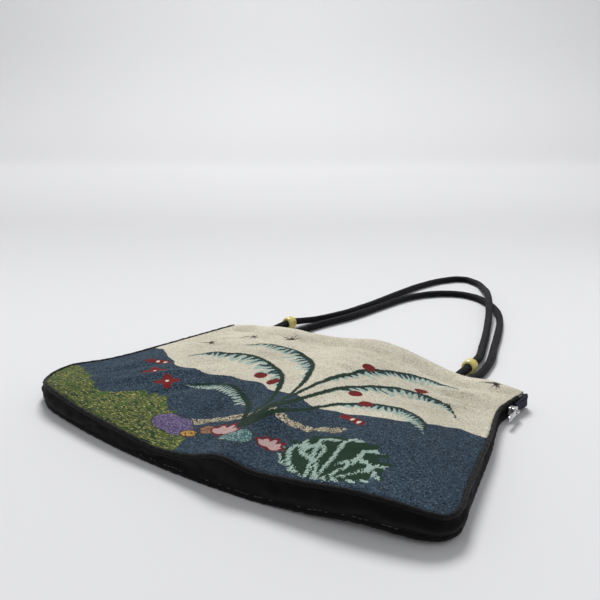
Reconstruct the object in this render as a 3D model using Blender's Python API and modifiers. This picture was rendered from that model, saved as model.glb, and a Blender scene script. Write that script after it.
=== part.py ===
"""A flat tapestry tote bag, lying on its back panel with its mouth towards +Y.

X runs along the base, Y from the base to the mouth, and Z up from the surface it lies on.
Every length is in metres. The tables hold their lengths as shares of the named sizes.
"""

import math
from collections import namedtuple

import bmesh
import bpy
import numpy as np
from mathutils import Vector

# Driving sizes of the bag
BASE_WIDTH = 0.380
TOP_WIDTH = 0.303
PANEL_HEIGHT = 0.220
BASE_DEPTH = 0.020
MOUTH_HEIGHT = 0.0258
BASE_BOW = 0.025
LEFT_CORNER_RADIUS = 0.042
RIGHT_CORNER_RADIUS = 0.024
BACK_LIFT = 0.005
PANEL_PUFF = 0.0035
PUFF_RATIO = 2.2

# Cloth, piping and hems
PANEL_CLOTH = 0.0016
GUSSET_CLOTH = 0.0014
PIPING_DIAMETER = 0.0035
HEM_THICKNESS = 0.0042
HEM_TURN = 0.011
HEM_SWELL = 0.0008
HEM_ROLL_SHARE = 0.45
HEM_GROOVE_SHARE = 1.15
HEM_SPREAD_SHARE = 0.35
HEM_FADE_RATIO = 12.0
CLEARANCE = 0.0003

# Zip
TAPE_WIDTH = 0.0125
TAPE_THICKNESS = 0.0008
COIL_DIAMETER = 0.0020
TAPE_LAP = 0.003
BACK_TAPE_INSET = 0.0155
TAPE_END_INSET = 0.055
TAIL_THICKNESS = 0.0020
SLIDER_LENGTH = 0.0090
SLIDER_WIDTH = 0.0074
SLIDER_WALL = 0.0011
BRIDGE_WIDTH = 0.0022
BRIDGE_WIRE = 0.0010
PULL_LENGTH = 0.0200
PULL_WIDTH = 0.0052
PULL_WIRE = 0.0012
PULL_RUNNING_GAP = 0.0004

# Handles and beads
HANDLE_DIAMETER = 0.0075
HANDLE_POINTS = 56
BEAD_DIAMETER = 0.0137
BEAD_LENGTH = 0.0110
BEAD_EDGE_RADIUS = 0.0022
BEAD_CLEARANCE = 0.0006

# Mesh fineness
PANEL_COLUMNS = 34
PANEL_ROWS = 18
BACK_MOUTH_POINTS = 14
END_STATION_SHARE = 0.003
BAND_ROWS = (0.0, 0.12, 0.36, 0.64, 0.88, 1.0)
TAIL_STATIONS = 18
CROWDING_RATIO = 0.55
SPREAD_ROUNDS = 800
STEP_SHARE = 0.004
BEAD_SIDES = 20

NAME = "tapestry_tote_bag"

SideRow = namedtuple("SideRow", "up out")
EdgeRow = namedtuple("EdgeRow", "along height")
TopRow = namedtuple("TopRow", "across out height")
BandRow = namedtuple("BandRow", "along belly")
RingRow = namedtuple("RingRow", "inward lift")
Fold = namedtuple("Fold", "across up turn length width height")
TailRow = namedtuple("TailRow", "out up low high")
RoutePoint = namedtuple("RoutePoint", "x y z")

# Side outlines: up is a share of the panel's height, out a share of half the base width
LEFT_SIDE = [
    SideRow(0.00, 0.000), SideRow(0.10, 0.012), SideRow(0.16, 0.030), SideRow(0.22, 0.010),
    SideRow(0.30, -0.024), SideRow(0.40, -0.034), SideRow(0.54, -0.028), SideRow(0.75, -0.014),
    SideRow(1.00, 0.003),
]
RIGHT_SIDE = [
    SideRow(0.00, -0.010), SideRow(0.12, -0.024), SideRow(0.27, -0.033), SideRow(0.44, -0.040),
    SideRow(0.56, -0.045), SideRow(0.68, -0.058), SideRow(0.79, -0.060), SideRow(0.89, -0.026),
    SideRow(0.97, 0.004),
]
LEFT_TOP = 1.00
RIGHT_TOP = 0.97
# Where the piping and the band start and end, as shares of the outline
PIPING_ENDS = (0.004, 0.985)
BAND_ENDS = (0.006, 0.990)

# Height of the front piping along the base, as shares of the base depth
BASE_EDGE = [
    EdgeRow(0.00, 0.78), EdgeRow(0.07, 0.94), EdgeRow(0.18, 0.85), EdgeRow(0.36, 0.73),
    EdgeRow(0.45, 0.64), EdgeRow(0.53, 0.82), EdgeRow(0.60, 1.17), EdgeRow(0.67, 1.00),
    EdgeRow(0.74, 1.07), EdgeRow(0.86, 1.22), EdgeRow(0.94, 1.12), EdgeRow(1.00, 0.88),
]
# How far the sides' piping rises over a straight line from the base to the mouth
LEFT_EDGE = [EdgeRow(0.0, 0.00), EdgeRow(0.3, 0.03), EdgeRow(0.7, 0.02), EdgeRow(1.0, 0.00)]
RIGHT_EDGE = [
    EdgeRow(0.0, 0.00), EdgeRow(0.25, 0.02), EdgeRow(0.5, -0.02), EdgeRow(0.78, -0.10),
    EdgeRow(0.9, -0.06), EdgeRow(1.0, 0.00),
]
# The mouth's front edge: out is a share of the panel's height, height of the mouth's height
TOP_EDGE = [
    TopRow(0.00, 0.000, 0.47), TopRow(0.10, 0.006, 0.63), TopRow(0.25, 0.016, 0.80),
    TopRow(0.34, 0.026, 0.77), TopRow(0.43, 0.036, 0.83), TopRow(0.53, 0.044, 0.99),
    TopRow(0.62, 0.036, 0.94), TopRow(0.72, 0.016, 0.76), TopRow(0.82, 0.001, 0.58),
    TopRow(0.92, 0.000, 0.62), TopRow(1.00, 0.000, 0.53),
]
# Where the back edge leaves the surface, as shares of the back lift along the whole band
LIFT_EDGE = [
    EdgeRow(0.00, 0.0), EdgeRow(0.58, 0.0), EdgeRow(0.63, 0.5), EdgeRow(0.67, 1.0),
    EdgeRow(0.71, 0.7), EdgeRow(0.76, 0.4), EdgeRow(0.84, 0.0), EdgeRow(1.00, 0.0),
]
# How far the band bellies out (or is sucked in), as shares of the base depth
BAND_BELLY = [
    BandRow(0.00, 0.00), BandRow(0.06, 0.02), BandRow(0.18, 0.10), BandRow(0.30, 0.14),
    BandRow(0.40, 0.06), BandRow(0.50, -0.06), BandRow(0.56, 0.02), BandRow(0.66, 0.12),
    BandRow(0.74, 0.14), BandRow(0.82, 0.04), BandRow(0.90, -0.14), BandRow(0.95, -0.10),
    BandRow(0.985, 0.00), BandRow(1.00, 0.00),
]
# The front panel's folds: places, lengths and widths are shares of the panel's height
FRONT_FOLDS = [
    Fold(0.44, 0.10, 80.0, 0.36, 0.080, -0.14), Fold(0.575, 0.12, 96.0, 0.40, 0.075, 0.15),
    Fold(0.80, 0.20, 35.0, 0.60, 0.120, 0.12), Fold(0.86, 0.72, 12.0, 0.42, 0.055, -0.10),
    Fold(0.90, 0.60, 160.0, 0.36, 0.050, 0.09), Fold(0.28, 0.86, 4.0, 0.50, 0.045, -0.10),
    Fold(0.20, 0.70, 20.0, 0.55, 0.090, 0.08), Fold(0.10, 0.35, 62.0, 0.40, 0.080, -0.08),
    Fold(0.52, 0.62, 75.0, 0.60, 0.160, 0.10),
]
# Rings of the back panel, from its rim inwards: in is a share of the way to its middle,
# lift the share of the rim's lift that is left there
BACK_RINGS = [RingRow(0.0, 1.0), RingRow(0.10, 0.45), RingRow(0.26, 0.0)]

# The zip's tail: out is its distance from the side's line and up its place above the
# mouth's corner, as shares of the base depth and of the panel's height; low and high
# are shares of the base depth
TAIL_ROWS = [
    TailRow(-0.773, -0.046, 0.11, 0.38), TailRow(-0.453, -0.016, 0.11, 0.38),
    TailRow(-0.137, 0.012, 0.12, 0.42), TailRow(0.149, 0.015, 0.13, 0.58),
    TailRow(0.287, -0.010, 0.16, 0.60), TailRow(0.287, -0.040, 0.18, 0.58),
    TailRow(0.209, -0.072, 0.18, 0.56), TailRow(0.185, -0.100, 0.18, 0.56),
]

# The handles' routes, from the left end inside the mouth to the right one: x, y and z are
# shares of the top width, of the panel's height and of the cord's diameter
FRONT_ROUTE = [
    RoutePoint(-0.3927, 0.9341, 0.760), RoutePoint(-0.3944, 1.0091, 0.800),
    RoutePoint(-0.3944, 1.1364, 0.960), RoutePoint(-0.3911, 1.2455, 0.933),
    RoutePoint(-0.3663, 1.3591, 0.560), RoutePoint(-0.3267, 1.4955, 0.520),
    RoutePoint(-0.3003, 1.6818, 0.520), RoutePoint(-0.2772, 2.0682, 0.520),
    RoutePoint(-0.2574, 2.2955, 0.520), RoutePoint(-0.2178, 2.4727, 0.520),
    RoutePoint(-0.1584, 2.5636, 0.520), RoutePoint(-0.0891, 2.5273, 0.520),
    RoutePoint(-0.0132, 2.3955, 0.693), RoutePoint(0.0347, 2.2636, 1.333),
    RoutePoint(0.0749, 2.1418, 1.680), RoutePoint(0.1089, 2.0318, 1.573),
    RoutePoint(0.1617, 1.8409, 0.880), RoutePoint(0.2013, 1.6773, 0.533),
    RoutePoint(0.2508, 1.4545, 0.520),
    RoutePoint(0.2772, 1.3318, 0.613), RoutePoint(0.2904, 1.2364, 0.933),
    RoutePoint(0.2937, 1.1364, 0.947), RoutePoint(0.2921, 1.0227, 0.800),
    RoutePoint(0.2904, 0.9477, 0.760),
]
BACK_ROUTE = [
    RoutePoint(-0.3399, 0.9341, 0.760), RoutePoint(-0.3399, 1.0182, 0.773),
    RoutePoint(-0.3366, 1.1273, 0.520), RoutePoint(-0.3135, 1.3182, 0.520),
    RoutePoint(-0.2739, 1.5227, 0.520), RoutePoint(-0.2475, 1.7727, 0.520),
    RoutePoint(-0.2244, 1.9773, 0.520), RoutePoint(-0.1815, 2.1136, 0.520),
    RoutePoint(-0.1320, 2.1909, 0.520), RoutePoint(-0.0693, 2.2318, 0.520),
    RoutePoint(0.0000, 2.2182, 0.520), RoutePoint(0.0792, 2.1364, 0.520),
    RoutePoint(0.1485, 2.0136, 0.520), RoutePoint(0.1980, 1.8636, 0.520),
    RoutePoint(0.2409, 1.6818, 0.520), RoutePoint(0.2805, 1.4909, 0.520),
    RoutePoint(0.3201, 1.2955, 0.520), RoutePoint(0.3333, 1.1273, 0.520),
    RoutePoint(0.3300, 1.0182, 0.773), RoutePoint(0.3267, 0.9477, 0.760),
]
# Where the beads sit, on the front handle's straight ends
LEFT_BEAD = RoutePoint(-0.3927, 1.1955, 0.933)
RIGHT_BEAD = RoutePoint(0.2931, 1.1864, 0.933)

ROUTE_SCALE = np.array([TOP_WIDTH, PANEL_HEIGHT, HANDLE_DIAMETER])

MATERIALS = {
    "tapestry": ((0.30, 0.33, 0.33, 1.0), 0.90, 0.0),
    "black_cloth": ((0.012, 0.012, 0.015, 1.0), 0.92, 0.0),
    "piping_cloth": ((0.030, 0.026, 0.034, 1.0), 0.80, 0.0),
    "zip_tape": ((0.020, 0.026, 0.055, 1.0), 0.85, 0.0),
    "zip_metal": ((0.78, 0.79, 0.80, 1.0), 0.25, 1.0),
    "cord_cloth": ((0.030, 0.032, 0.044, 1.0), 0.88, 0.0),
    "bead": ((0.68, 0.56, 0.17, 1.0), 0.35, 0.0),
}


def clear_scene():
    """Empty the file of its objects and collections."""
    for thing in list(bpy.data.objects):
        bpy.data.objects.remove(thing, do_unlink=True)
    for group in list(bpy.data.collections):
        bpy.data.collections.remove(group)


def spline(stations, values, at):
    """Read a smooth curve through (station, value) rows at the given stations."""
    stations = np.asarray(stations, float)
    values = np.asarray(values, float)
    at = np.clip(np.asarray(at, float), stations[0], stations[-1])
    flat = values.ndim == 1
    if flat:
        values = values[:, None]
    slopes = np.gradient(values, stations, axis=0)
    piece = np.clip(np.searchsorted(stations, at, side="right") - 1, 0, len(stations) - 2)
    span = (stations[piece + 1] - stations[piece])[..., None]
    share = ((at - stations[piece])[..., None]) / span
    start, end = values[piece], values[piece + 1]
    lead, tail = slopes[piece] * span, slopes[piece + 1] * span
    result = (
        start * (2 * share**3 - 3 * share**2 + 1) + lead * (share**3 - 2 * share**2 + share)
        + end * (3 * share**2 - 2 * share**3) + tail * (share**3 - share**2)
    )
    return result[..., 0] if flat else result


def column(rows, name):
    """One named column of a table."""
    return [getattr(row, name) for row in rows]


def side_x(side, rows, up):
    """X of a side's outline at a share of the height; side is -1 on the left."""
    half_base, half_top = BASE_WIDTH / 2, TOP_WIDTH / 2
    straight = half_base + (half_top - half_base) * np.asarray(up)
    return side * (straight + half_base * spline(column(rows, "up"), column(rows, "out"), up))


def base_y(x):
    """Y of the bowed base edge."""
    return -BASE_BOW * (1 - (np.asarray(x) / (BASE_WIDTH / 2)) ** 2)


def rounded(start, corner, end, count):
    """Points of a round corner, without its two ends."""
    share = (np.arange(count) + 1.0)[:, None] / (count + 1)
    start, corner, end = np.array(start), np.array(corner), np.array(end)
    return start * (1 - share) ** 2 + corner * 2 * share * (1 - share) + end * share**2


def trace_outline():
    """The bag's outline from the mouth's left end, round the base, to its right end."""
    half = BASE_WIDTH / 2
    left_up = np.linspace(LEFT_TOP, LEFT_CORNER_RADIUS / PANEL_HEIGHT, 60)
    right_up = np.linspace(RIGHT_CORNER_RADIUS / PANEL_HEIGHT, RIGHT_TOP, 60)
    left = np.c_[side_x(-1, LEFT_SIDE, left_up), left_up * PANEL_HEIGHT]
    right = np.c_[side_x(1, RIGHT_SIDE, right_up), right_up * PANEL_HEIGHT]
    right_sharp = side_x(1, RIGHT_SIDE, 0.0)
    across = np.linspace(-half + LEFT_CORNER_RADIUS, right_sharp - RIGHT_CORNER_RADIUS, 90)
    base = np.c_[across, base_y(across)]
    left_turn = rounded(left[-1], (-half, 0.0), base[0], 21)
    right_turn = rounded(base[-1], (right_sharp, base_y(right_sharp)), right[0], 21)
    points = np.vstack([left, left_turn, base, right_turn, right])
    runs = np.concatenate([[0.0], np.cumsum(np.linalg.norm(np.diff(points, axis=0), axis=1))])
    left_middle = runs[len(left) + 10] / runs[-1]
    right_middle = runs[len(left) + 21 + len(base) + 10] / runs[-1]
    return points, runs / runs[-1], left_middle, right_middle, runs[-1]


OUTLINE, OUTLINE_SHARES, LEFT_MIDDLE, RIGHT_MIDDLE, OUTLINE_LENGTH = trace_outline()


def outline_at(along, inset=0.0):
    """Points of the outline at shares of its length, moved in by inset."""
    along = np.asarray(along, float)

    def read(share):
        share = np.clip(share, 0.0, 1.0)
        return np.stack([np.interp(share, OUTLINE_SHARES, OUTLINE[:, k]) for k in (0, 1)], -1)

    ahead = read(along + STEP_SHARE) - read(along - STEP_SHARE)
    ahead /= np.linalg.norm(ahead, axis=-1, keepdims=True)
    outward = np.stack([ahead[..., 1], -ahead[..., 0]], -1)
    return read(along) - outward * np.asarray(inset)[..., None], outward


def front_height(along):
    """Height of the front piping's middle at shares of the outline."""
    along = np.asarray(along, float)
    left = 1 - along / LEFT_MIDDLE
    base = (along - LEFT_MIDDLE) / (RIGHT_MIDDLE - LEFT_MIDDLE)
    right = (along - RIGHT_MIDDLE) / (1 - RIGHT_MIDDLE)

    def read(rows, share):
        share = np.clip(share, 0, 1)
        return BASE_DEPTH * spline(column(rows, "along"), column(rows, "height"), share)

    def side(rows, share, base_row, mouth_row):
        low = base_row.height * BASE_DEPTH
        high = mouth_row.height * MOUTH_HEIGHT - PANEL_CLOTH / 2
        return read(rows, share) + low + (high - low) * np.clip(share, 0, 1)

    height = np.where(left > 0, side(LEFT_EDGE, left, BASE_EDGE[0], TOP_EDGE[0]),
                      read(BASE_EDGE, base))
    return np.where(right > 0, side(RIGHT_EDGE, right, BASE_EDGE[-1], TOP_EDGE[-1]), height)


def back_height(along):
    """Height of the back piping's middle at shares of the outline."""
    lift = spline(column(LIFT_EDGE, "along"), column(LIFT_EDGE, "height"), along)
    return PIPING_DIAMETER / 2 + BACK_LIFT * np.maximum(lift, 0.0)


def top_edge(across):
    """The front panel's mouth edge, at the middle of the cloth."""
    across = np.asarray(across, float)
    inset = PIPING_DIAMETER / 2 + CLEARANCE
    ends = outline_at(np.array([0.0, 1.0]), inset)[0]
    plan = ends[0] + (ends[1] - ends[0]) * across[..., None]
    out = spline(column(TOP_EDGE, "across"), column(TOP_EDGE, "out"), across)
    rise = spline(column(TOP_EDGE, "across"), column(TOP_EDGE, "height"), across)
    plan[..., 1] += out * PANEL_HEIGHT
    return plan, rise * MOUTH_HEIGHT - PANEL_CLOTH / 2


def coons(across, up, base, top, left, right):
    """Fill the field between four edge curves; each is a function of its own share."""
    a, b = across[..., None], up[..., None]
    fade_a, fade_b = a * a * (3 - 2 * a), b * b * (3 - 2 * b)
    zero, one = np.zeros_like(across), np.ones_like(across)
    corners = (
        (1 - fade_a) * (1 - fade_b) * base(zero) + fade_a * (1 - fade_b) * base(one)
        + (1 - fade_a) * fade_b * top(zero) + fade_a * fade_b * top(one)
    )
    rows = (1 - fade_b) * base(across) + fade_b * top(across)
    columns = (1 - fade_a) * left(up) + fade_a * right(up)
    return rows + columns - corners


def fold_relief(plan, folds):
    """Height that the folds add at points of the plan."""
    relief = np.zeros(plan.shape[:-1])
    for fold in folds:
        middle = np.array([(fold.across - 0.5) * BASE_WIDTH, fold.up * PANEL_HEIGHT])
        turn = math.radians(fold.turn)
        away = plan - middle
        along = away[..., 0] * math.cos(turn) + away[..., 1] * math.sin(turn)
        aside = away[..., 1] * math.cos(turn) - away[..., 0] * math.sin(turn)
        shape = np.exp(-((along / (fold.length * PANEL_HEIGHT / 2)) ** 2)
                       - (aside / (fold.width * PANEL_HEIGHT / 2)) ** 2)
        relief += fold.height * BASE_DEPTH * shape
    return relief


def panel_plan(across, up, mouth):
    """Plan of a panel's grid inside the piping, spread evenly from its four edges."""
    inset = PIPING_DIAMETER / 2 + CLEARANCE
    plan = np.zeros((*across.shape, 2))
    plan[0] = outline_at(LEFT_MIDDLE + across[0] * (RIGHT_MIDDLE - LEFT_MIDDLE), inset)[0]
    plan[:, 0] = outline_at(LEFT_MIDDLE * (1 - up[:, 0]), inset)[0]
    plan[:, -1] = outline_at(RIGHT_MIDDLE + up[:, -1] * (1 - RIGHT_MIDDLE), inset)[0]
    plan[-1] = mouth(across[-1])
    share = up[1:-1, 1:-1, None]
    plan[1:-1, 1:-1] = plan[None, 0, 1:-1] * (1 - share) + plan[None, -1, 1:-1] * share
    for _ in range(SPREAD_ROUNDS):
        plan[1:-1, 1:-1] = (
            plan[:-2, 1:-1] + plan[2:, 1:-1] + plan[1:-1, :-2] + plan[1:-1, 2:]
        ) / 4
    return plan


def front_surface(across, up, plan):
    """The front panel's middle surface over points of the plan, up to the mouth edge."""
    height = coons(
        across, up,
        lambda a: front_height(LEFT_MIDDLE + a * (RIGHT_MIDDLE - LEFT_MIDDLE))[..., None],
        lambda a: top_edge(a)[1][..., None],
        lambda b: front_height(LEFT_MIDDLE * (1 - b))[..., None],
        lambda b: front_height(RIGHT_MIDDLE + b * (1 - RIGHT_MIDDLE))[..., None],
    )[..., 0]
    inside = (np.sin(math.pi * np.clip(across, 0, 1)) * np.sin(math.pi * np.clip(up, 0, 1)))
    inside = np.clip(inside * PUFF_RATIO, 0, 1)
    height = height + PANEL_PUFF * inside + fold_relief(plan, FRONT_FOLDS) * inside
    from_mouth = (1 - up) * PANEL_HEIGHT
    spread = HEM_SPREAD_SHARE * HEM_TURN
    groove = np.exp(-((from_mouth - HEM_GROOVE_SHARE * HEM_TURN) / spread) ** 2)
    swell = np.exp(-((from_mouth - HEM_ROLL_SHARE * HEM_TURN) / spread) ** 2)
    ends = np.clip(np.minimum(across, 1 - across) * HEM_FADE_RATIO, 0, 1)
    return np.concatenate([plan, (height + HEM_SWELL * ends * (swell - groove))[..., None]], -1)


def even(count):
    """Shares from 0 to 1, both ends included."""
    return np.linspace(0.0, 1.0, count + 1)


def crowded(count):
    """Shares from 0 to 1 that lie closer together towards both ends."""
    share = even(count)
    return share - CROWDING_RATIO * np.sin(2 * math.pi * share) / (2 * math.pi)


def band_stations(start, end):
    """Shares of the outline from start to end, where the panels' rims have their points."""
    left = LEFT_MIDDLE * (1 - crowded(PANEL_ROWS)[::-1])
    base = LEFT_MIDDLE + (RIGHT_MIDDLE - LEFT_MIDDLE) * crowded(PANEL_COLUMNS)
    right = RIGHT_MIDDLE + (1 - RIGHT_MIDDLE) * crowded(PANEL_ROWS)
    shares = np.concatenate([left, base[1:-1], right])
    shares = shares[(shares > start + END_STATION_SHARE) & (shares < end - END_STATION_SHARE)]
    return np.concatenate([[start], shares, [end]])


def grid(name, points, closed_rows=False):
    """A mesh object from a grid of points, rows by columns."""
    rows, columns = points.shape[:2]
    shell = bmesh.new()
    verts = [[shell.verts.new(points[i, j]) for j in range(columns)] for i in range(rows)]
    for i in range(rows if closed_rows else rows - 1):
        below, above = verts[i], verts[(i + 1) % rows]
        for j in range(columns - 1):
            shell.faces.new((below[j], below[j + 1], above[j + 1], above[j]))
    if closed_rows:
        shell.faces.new([row[0] for row in verts])
        shell.faces.new([row[-1] for row in reversed(verts)])
    bmesh.ops.recalc_face_normals(shell, faces=shell.faces)
    return finish_mesh(name, shell)


def finish_mesh(name, shell):
    """Turn a bmesh into an object of the given name."""
    mesh = bpy.data.meshes.new(name)
    shell.to_mesh(mesh)
    shell.free()
    mesh.shade_smooth()
    mesh.set_sharp_from_angle(angle=math.radians(50))
    return bpy.data.objects.new(name, mesh)


def thicken(thing, thickness):
    """Give an open sheet its cloth thickness, half to each side."""
    solid = thing.modifiers.new("cloth", "SOLIDIFY")
    solid.thickness = thickness
    solid.offset = 0.0
    solid.use_even_offset = True
    return thing


def front_face():
    """The front panel's grid of points, and the way out of the mouth at each column."""
    across, up = np.meshgrid(crowded(PANEL_COLUMNS), crowded(PANEL_ROWS))
    face = front_surface(across, up, panel_plan(across, up, lambda a: top_edge(a)[0]))
    ahead = face[-1] - face[-2]
    ahead[:, 2] = 0.0
    return face, ahead / np.linalg.norm(ahead, axis=1, keepdims=True)


def hem_under(face, ahead, back):
    """The turned-in layer of the hem, at a distance back from the mouth edge."""
    across = crowded(PANEL_COLUMNS)
    edge = face[-1]
    plan = (edge - ahead * back)[:, :2]
    under = front_surface(across, np.full(len(across), 1 - back / PANEL_HEIGHT), plan)
    under[:, 2] = np.minimum(under[:, 2], edge[:, 2] + HEM_SWELL) - HEM_THICKNESS + PANEL_CLOTH
    return under


def make_front_panel(face, ahead):
    """The tapestry panel with its hem rolled under along the mouth."""
    radius = (HEM_THICKNESS - PANEL_CLOTH) / 2
    middle = face[-1] - ahead * radius - np.array([0.0, 0.0, radius])
    rows = list(face[:-1])
    for turn in np.radians([0.0, 60.0, 120.0, 180.0]):
        out, rise = radius * math.sin(turn), radius * math.cos(turn)
        rows.append(middle + ahead * out + np.array([0.0, 0.0, rise]))
    rows += [hem_under(face, ahead, HEM_TURN * share) for share in (0.6, 1.0)]
    return thicken(grid("front_panel", np.array(rows)), PANEL_CLOTH)


def back_mouth(across):
    """Plan of the back panel's mouth edge."""
    ends = outline_at(np.array([0.0, 1.0]), PIPING_DIAMETER / 2 + CLEARANCE)[0]
    return ends[0] + (ends[1] - ends[0]) * np.asarray(across)[..., None]


def make_back_panel():
    """The plain panel on which the bag lies, flat inside and lifted along part of its rim."""
    inset = PIPING_DIAMETER / 2 + CLEARANCE
    along = band_stations(0.0, 1.0)
    mouth = back_mouth(even(BACK_MOUTH_POINTS)[1:-1][::-1])
    rim = np.vstack([outline_at(along, inset)[0], mouth])
    lift = np.concatenate([back_height(along) - PIPING_DIAMETER / 2, np.zeros(len(mouth))])
    middle = (rim.max(axis=0) + rim.min(axis=0)) / 2
    shell = bmesh.new()
    rings = []
    for row in BACK_RINGS:
        plan = rim + (middle - rim) * row.inward
        height = PANEL_CLOTH / 2 + lift * row.lift
        rings.append([shell.verts.new((*spot, z)) for spot, z in zip(plan, height)])
    for outer, inner in zip(rings, rings[1:]):
        for k, vert in enumerate(outer):
            ahead = (k + 1) % len(outer)
            shell.faces.new((vert, outer[ahead], inner[ahead], inner[k]))
    shell.faces.new(rings[-1])
    bmesh.ops.recalc_face_normals(shell, faces=shell.faces)
    return thicken(finish_mesh("back_panel", shell), PANEL_CLOTH)


def make_gusset():
    """The black band between the two pipings."""
    along = band_stations(*BAND_ENDS)
    apart = PIPING_DIAMETER / 2 + 1.5 * CLEARANCE
    low, high = back_height(along) + apart, front_height(along) - apart
    belly = BASE_DEPTH * spline(column(BAND_BELLY, "along"), column(BAND_BELLY, "belly"), along)
    rows = []
    place, outward = outline_at(along)
    for share in BAND_ROWS:
        push = belly * math.sin(math.pi * share) ** 2
        plan = place + outward * push[:, None]
        rows.append(np.c_[plan, low + (high - low) * share])
    return thicken(grid("gusset", np.array(rows)), GUSSET_CLOTH)


def make_tube(name, points, diameter, resolution):
    """A round cord along the given points, with filled ends."""
    curve = bpy.data.curves.new(name, "CURVE")
    curve.dimensions = "3D"
    curve.bevel_depth = diameter / 2
    curve.bevel_resolution = resolution
    curve.use_fill_caps = True
    line = curve.splines.new("POLY")
    line.points.add(len(points) - 1)
    for place, spot in zip(line.points, points):
        place.co = (*spot, 1.0)
    return bpy.data.objects.new(name, curve)


def make_piping(name, height):
    """A piping cord along the outline at the given height."""
    along = band_stations(*PIPING_ENDS)
    place = outline_at(along)[0]
    return make_tube(name, np.c_[place, height(along)], PIPING_DIAMETER, 2)


def make_tape(name, start, inward, coil_rise):
    """One half of the open zip: a flat tape whose coil is the thicker inner edge."""
    coil = COIL_DIAMETER
    profile = [
        (0.0, 0.0), (TAPE_WIDTH, 0.0), (TAPE_WIDTH + coil / 4, coil_rise),
        (TAPE_WIDTH + coil, coil_rise), (TAPE_WIDTH + coil, coil_rise - coil),
        (TAPE_WIDTH + coil / 4, coil_rise - coil), (TAPE_WIDTH, -TAPE_THICKNESS),
        (0.0, -TAPE_THICKNESS),
    ]
    rings = [start + inward * back + np.array([0.0, 0.0, rise]) for back, rise in profile]
    return grid(name, np.array(rings), closed_rows=True)


def make_zip_tapes(face, ahead):
    """The two tapes, one under the front hem and one on the back panel."""
    across = crowded(PANEL_COLUMNS)
    used = (across > TAPE_END_INSET) & (across < 1 - TAPE_END_INSET)
    lap = HEM_TURN - TAPE_LAP
    flap = np.minimum(hem_under(face, ahead, HEM_TURN)[:, 2], hem_under(face, ahead, lap)[:, 2])
    start = face[-1] - ahead * lap
    start[:, 2] = flap - PANEL_CLOTH / 2 - CLEARANCE
    front = make_tape("zip_tape_front", start[used], -ahead[used], 0.0)
    inward = np.array([0.0, -1.0, 0.0])
    lying = np.full(int(used.sum()), PANEL_CLOTH + CLEARANCE + TAPE_THICKNESS)
    back_start = np.c_[back_mouth(across[used]), lying] + inward * BACK_TAPE_INSET
    rise = COIL_DIAMETER - TAPE_THICKNESS
    return [front, make_tape("zip_tape_back", back_start, inward, rise)]


def tail_path(shares):
    """The zip tail's route round the mouth's right corner, read at shares of its rows."""
    up = RIGHT_TOP + np.array(column(TAIL_ROWS, "up"))
    rows = np.c_[
        side_x(1, RIGHT_SIDE, up) + BASE_DEPTH * np.array(column(TAIL_ROWS, "out")),
        up * PANEL_HEIGHT,
        BASE_DEPTH * np.array(column(TAIL_ROWS, "low")),
        BASE_DEPTH * np.array(column(TAIL_ROWS, "high")),
    ]
    return spline(even(len(rows) - 1), rows, shares)


def make_zip_tail():
    """The zip's end, a doubled tape on edge that wraps round the corner."""
    shares = even(TAIL_STATIONS)
    path = tail_path(shares)
    ahead = np.gradient(path[:, :2], axis=0)
    ahead /= np.linalg.norm(ahead, axis=1, keepdims=True)
    aside = np.c_[ahead[:, 1], -ahead[:, 0]] * TAIL_THICKNESS / 2
    rings = [
        np.c_[path[:, :2] - aside, path[:, 2]], np.c_[path[:, :2] + aside, path[:, 2]],
        np.c_[path[:, :2] + aside, path[:, 3]], np.c_[path[:, :2] - aside, path[:, 3]],
    ]
    return grid("zip_tail", np.array(rings), closed_rows=True)


def box(name, low, high):
    """A box between two corners, as an object with its scale applied."""
    shell = bmesh.new()
    bmesh.ops.create_cube(shell, size=1.0)
    size = Vector(high) - Vector(low)
    bmesh.ops.scale(shell, vec=size, verts=shell.verts)
    bmesh.ops.translate(shell, vec=(Vector(high) + Vector(low)) / 2, verts=shell.verts)
    return finish_mesh(name, shell)


def chamfer(thing, width):
    """Round an object's edges with a single-segment bevel."""
    bevel = thing.modifiers.new("edges", "BEVEL")
    bevel.width = width
    bevel.segments = 1
    bevel.limit_method = "ANGLE"
    return thing


def boolean(thing, other, how):
    """Join another object to this one, or cut it away."""
    step = thing.modifiers.new(how.lower(), "BOOLEAN")
    step.operation = how
    step.object = other
    step.solver = "EXACT"


def hide_cutter(thing, cutters):
    """Keep an operand as a wire guide in the cutters' collection."""
    thing.hide_render = True
    thing.display_type = "WIRE"
    cutters.objects.link(thing)


def slider_frame():
    """The slider's place: its middle on the tail's end, and the pull's pin axis."""
    end = tail_path(np.array([1.0]))[0]
    middle_z = (end[2] + end[3]) / 2
    body_half = TAIL_THICKNESS / 2 + CLEARANCE + SLIDER_WALL
    top_y = end[1] - 2 * CLEARANCE
    middle_y = top_y - SLIDER_LENGTH / 2
    beside = np.array([end[1], top_y, top_y - SLIDER_LENGTH]) / PANEL_HEIGHT
    side = side_x(1, RIGHT_SIDE, beside)
    middle_x = max(side[1:]) + end[0] - side[0]
    pin_x = middle_x + body_half + PULL_RUNNING_GAP + PULL_WIRE / 2
    return Vector((middle_x, middle_y, middle_z)), Vector((pin_x, middle_y, middle_z)), body_half


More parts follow.
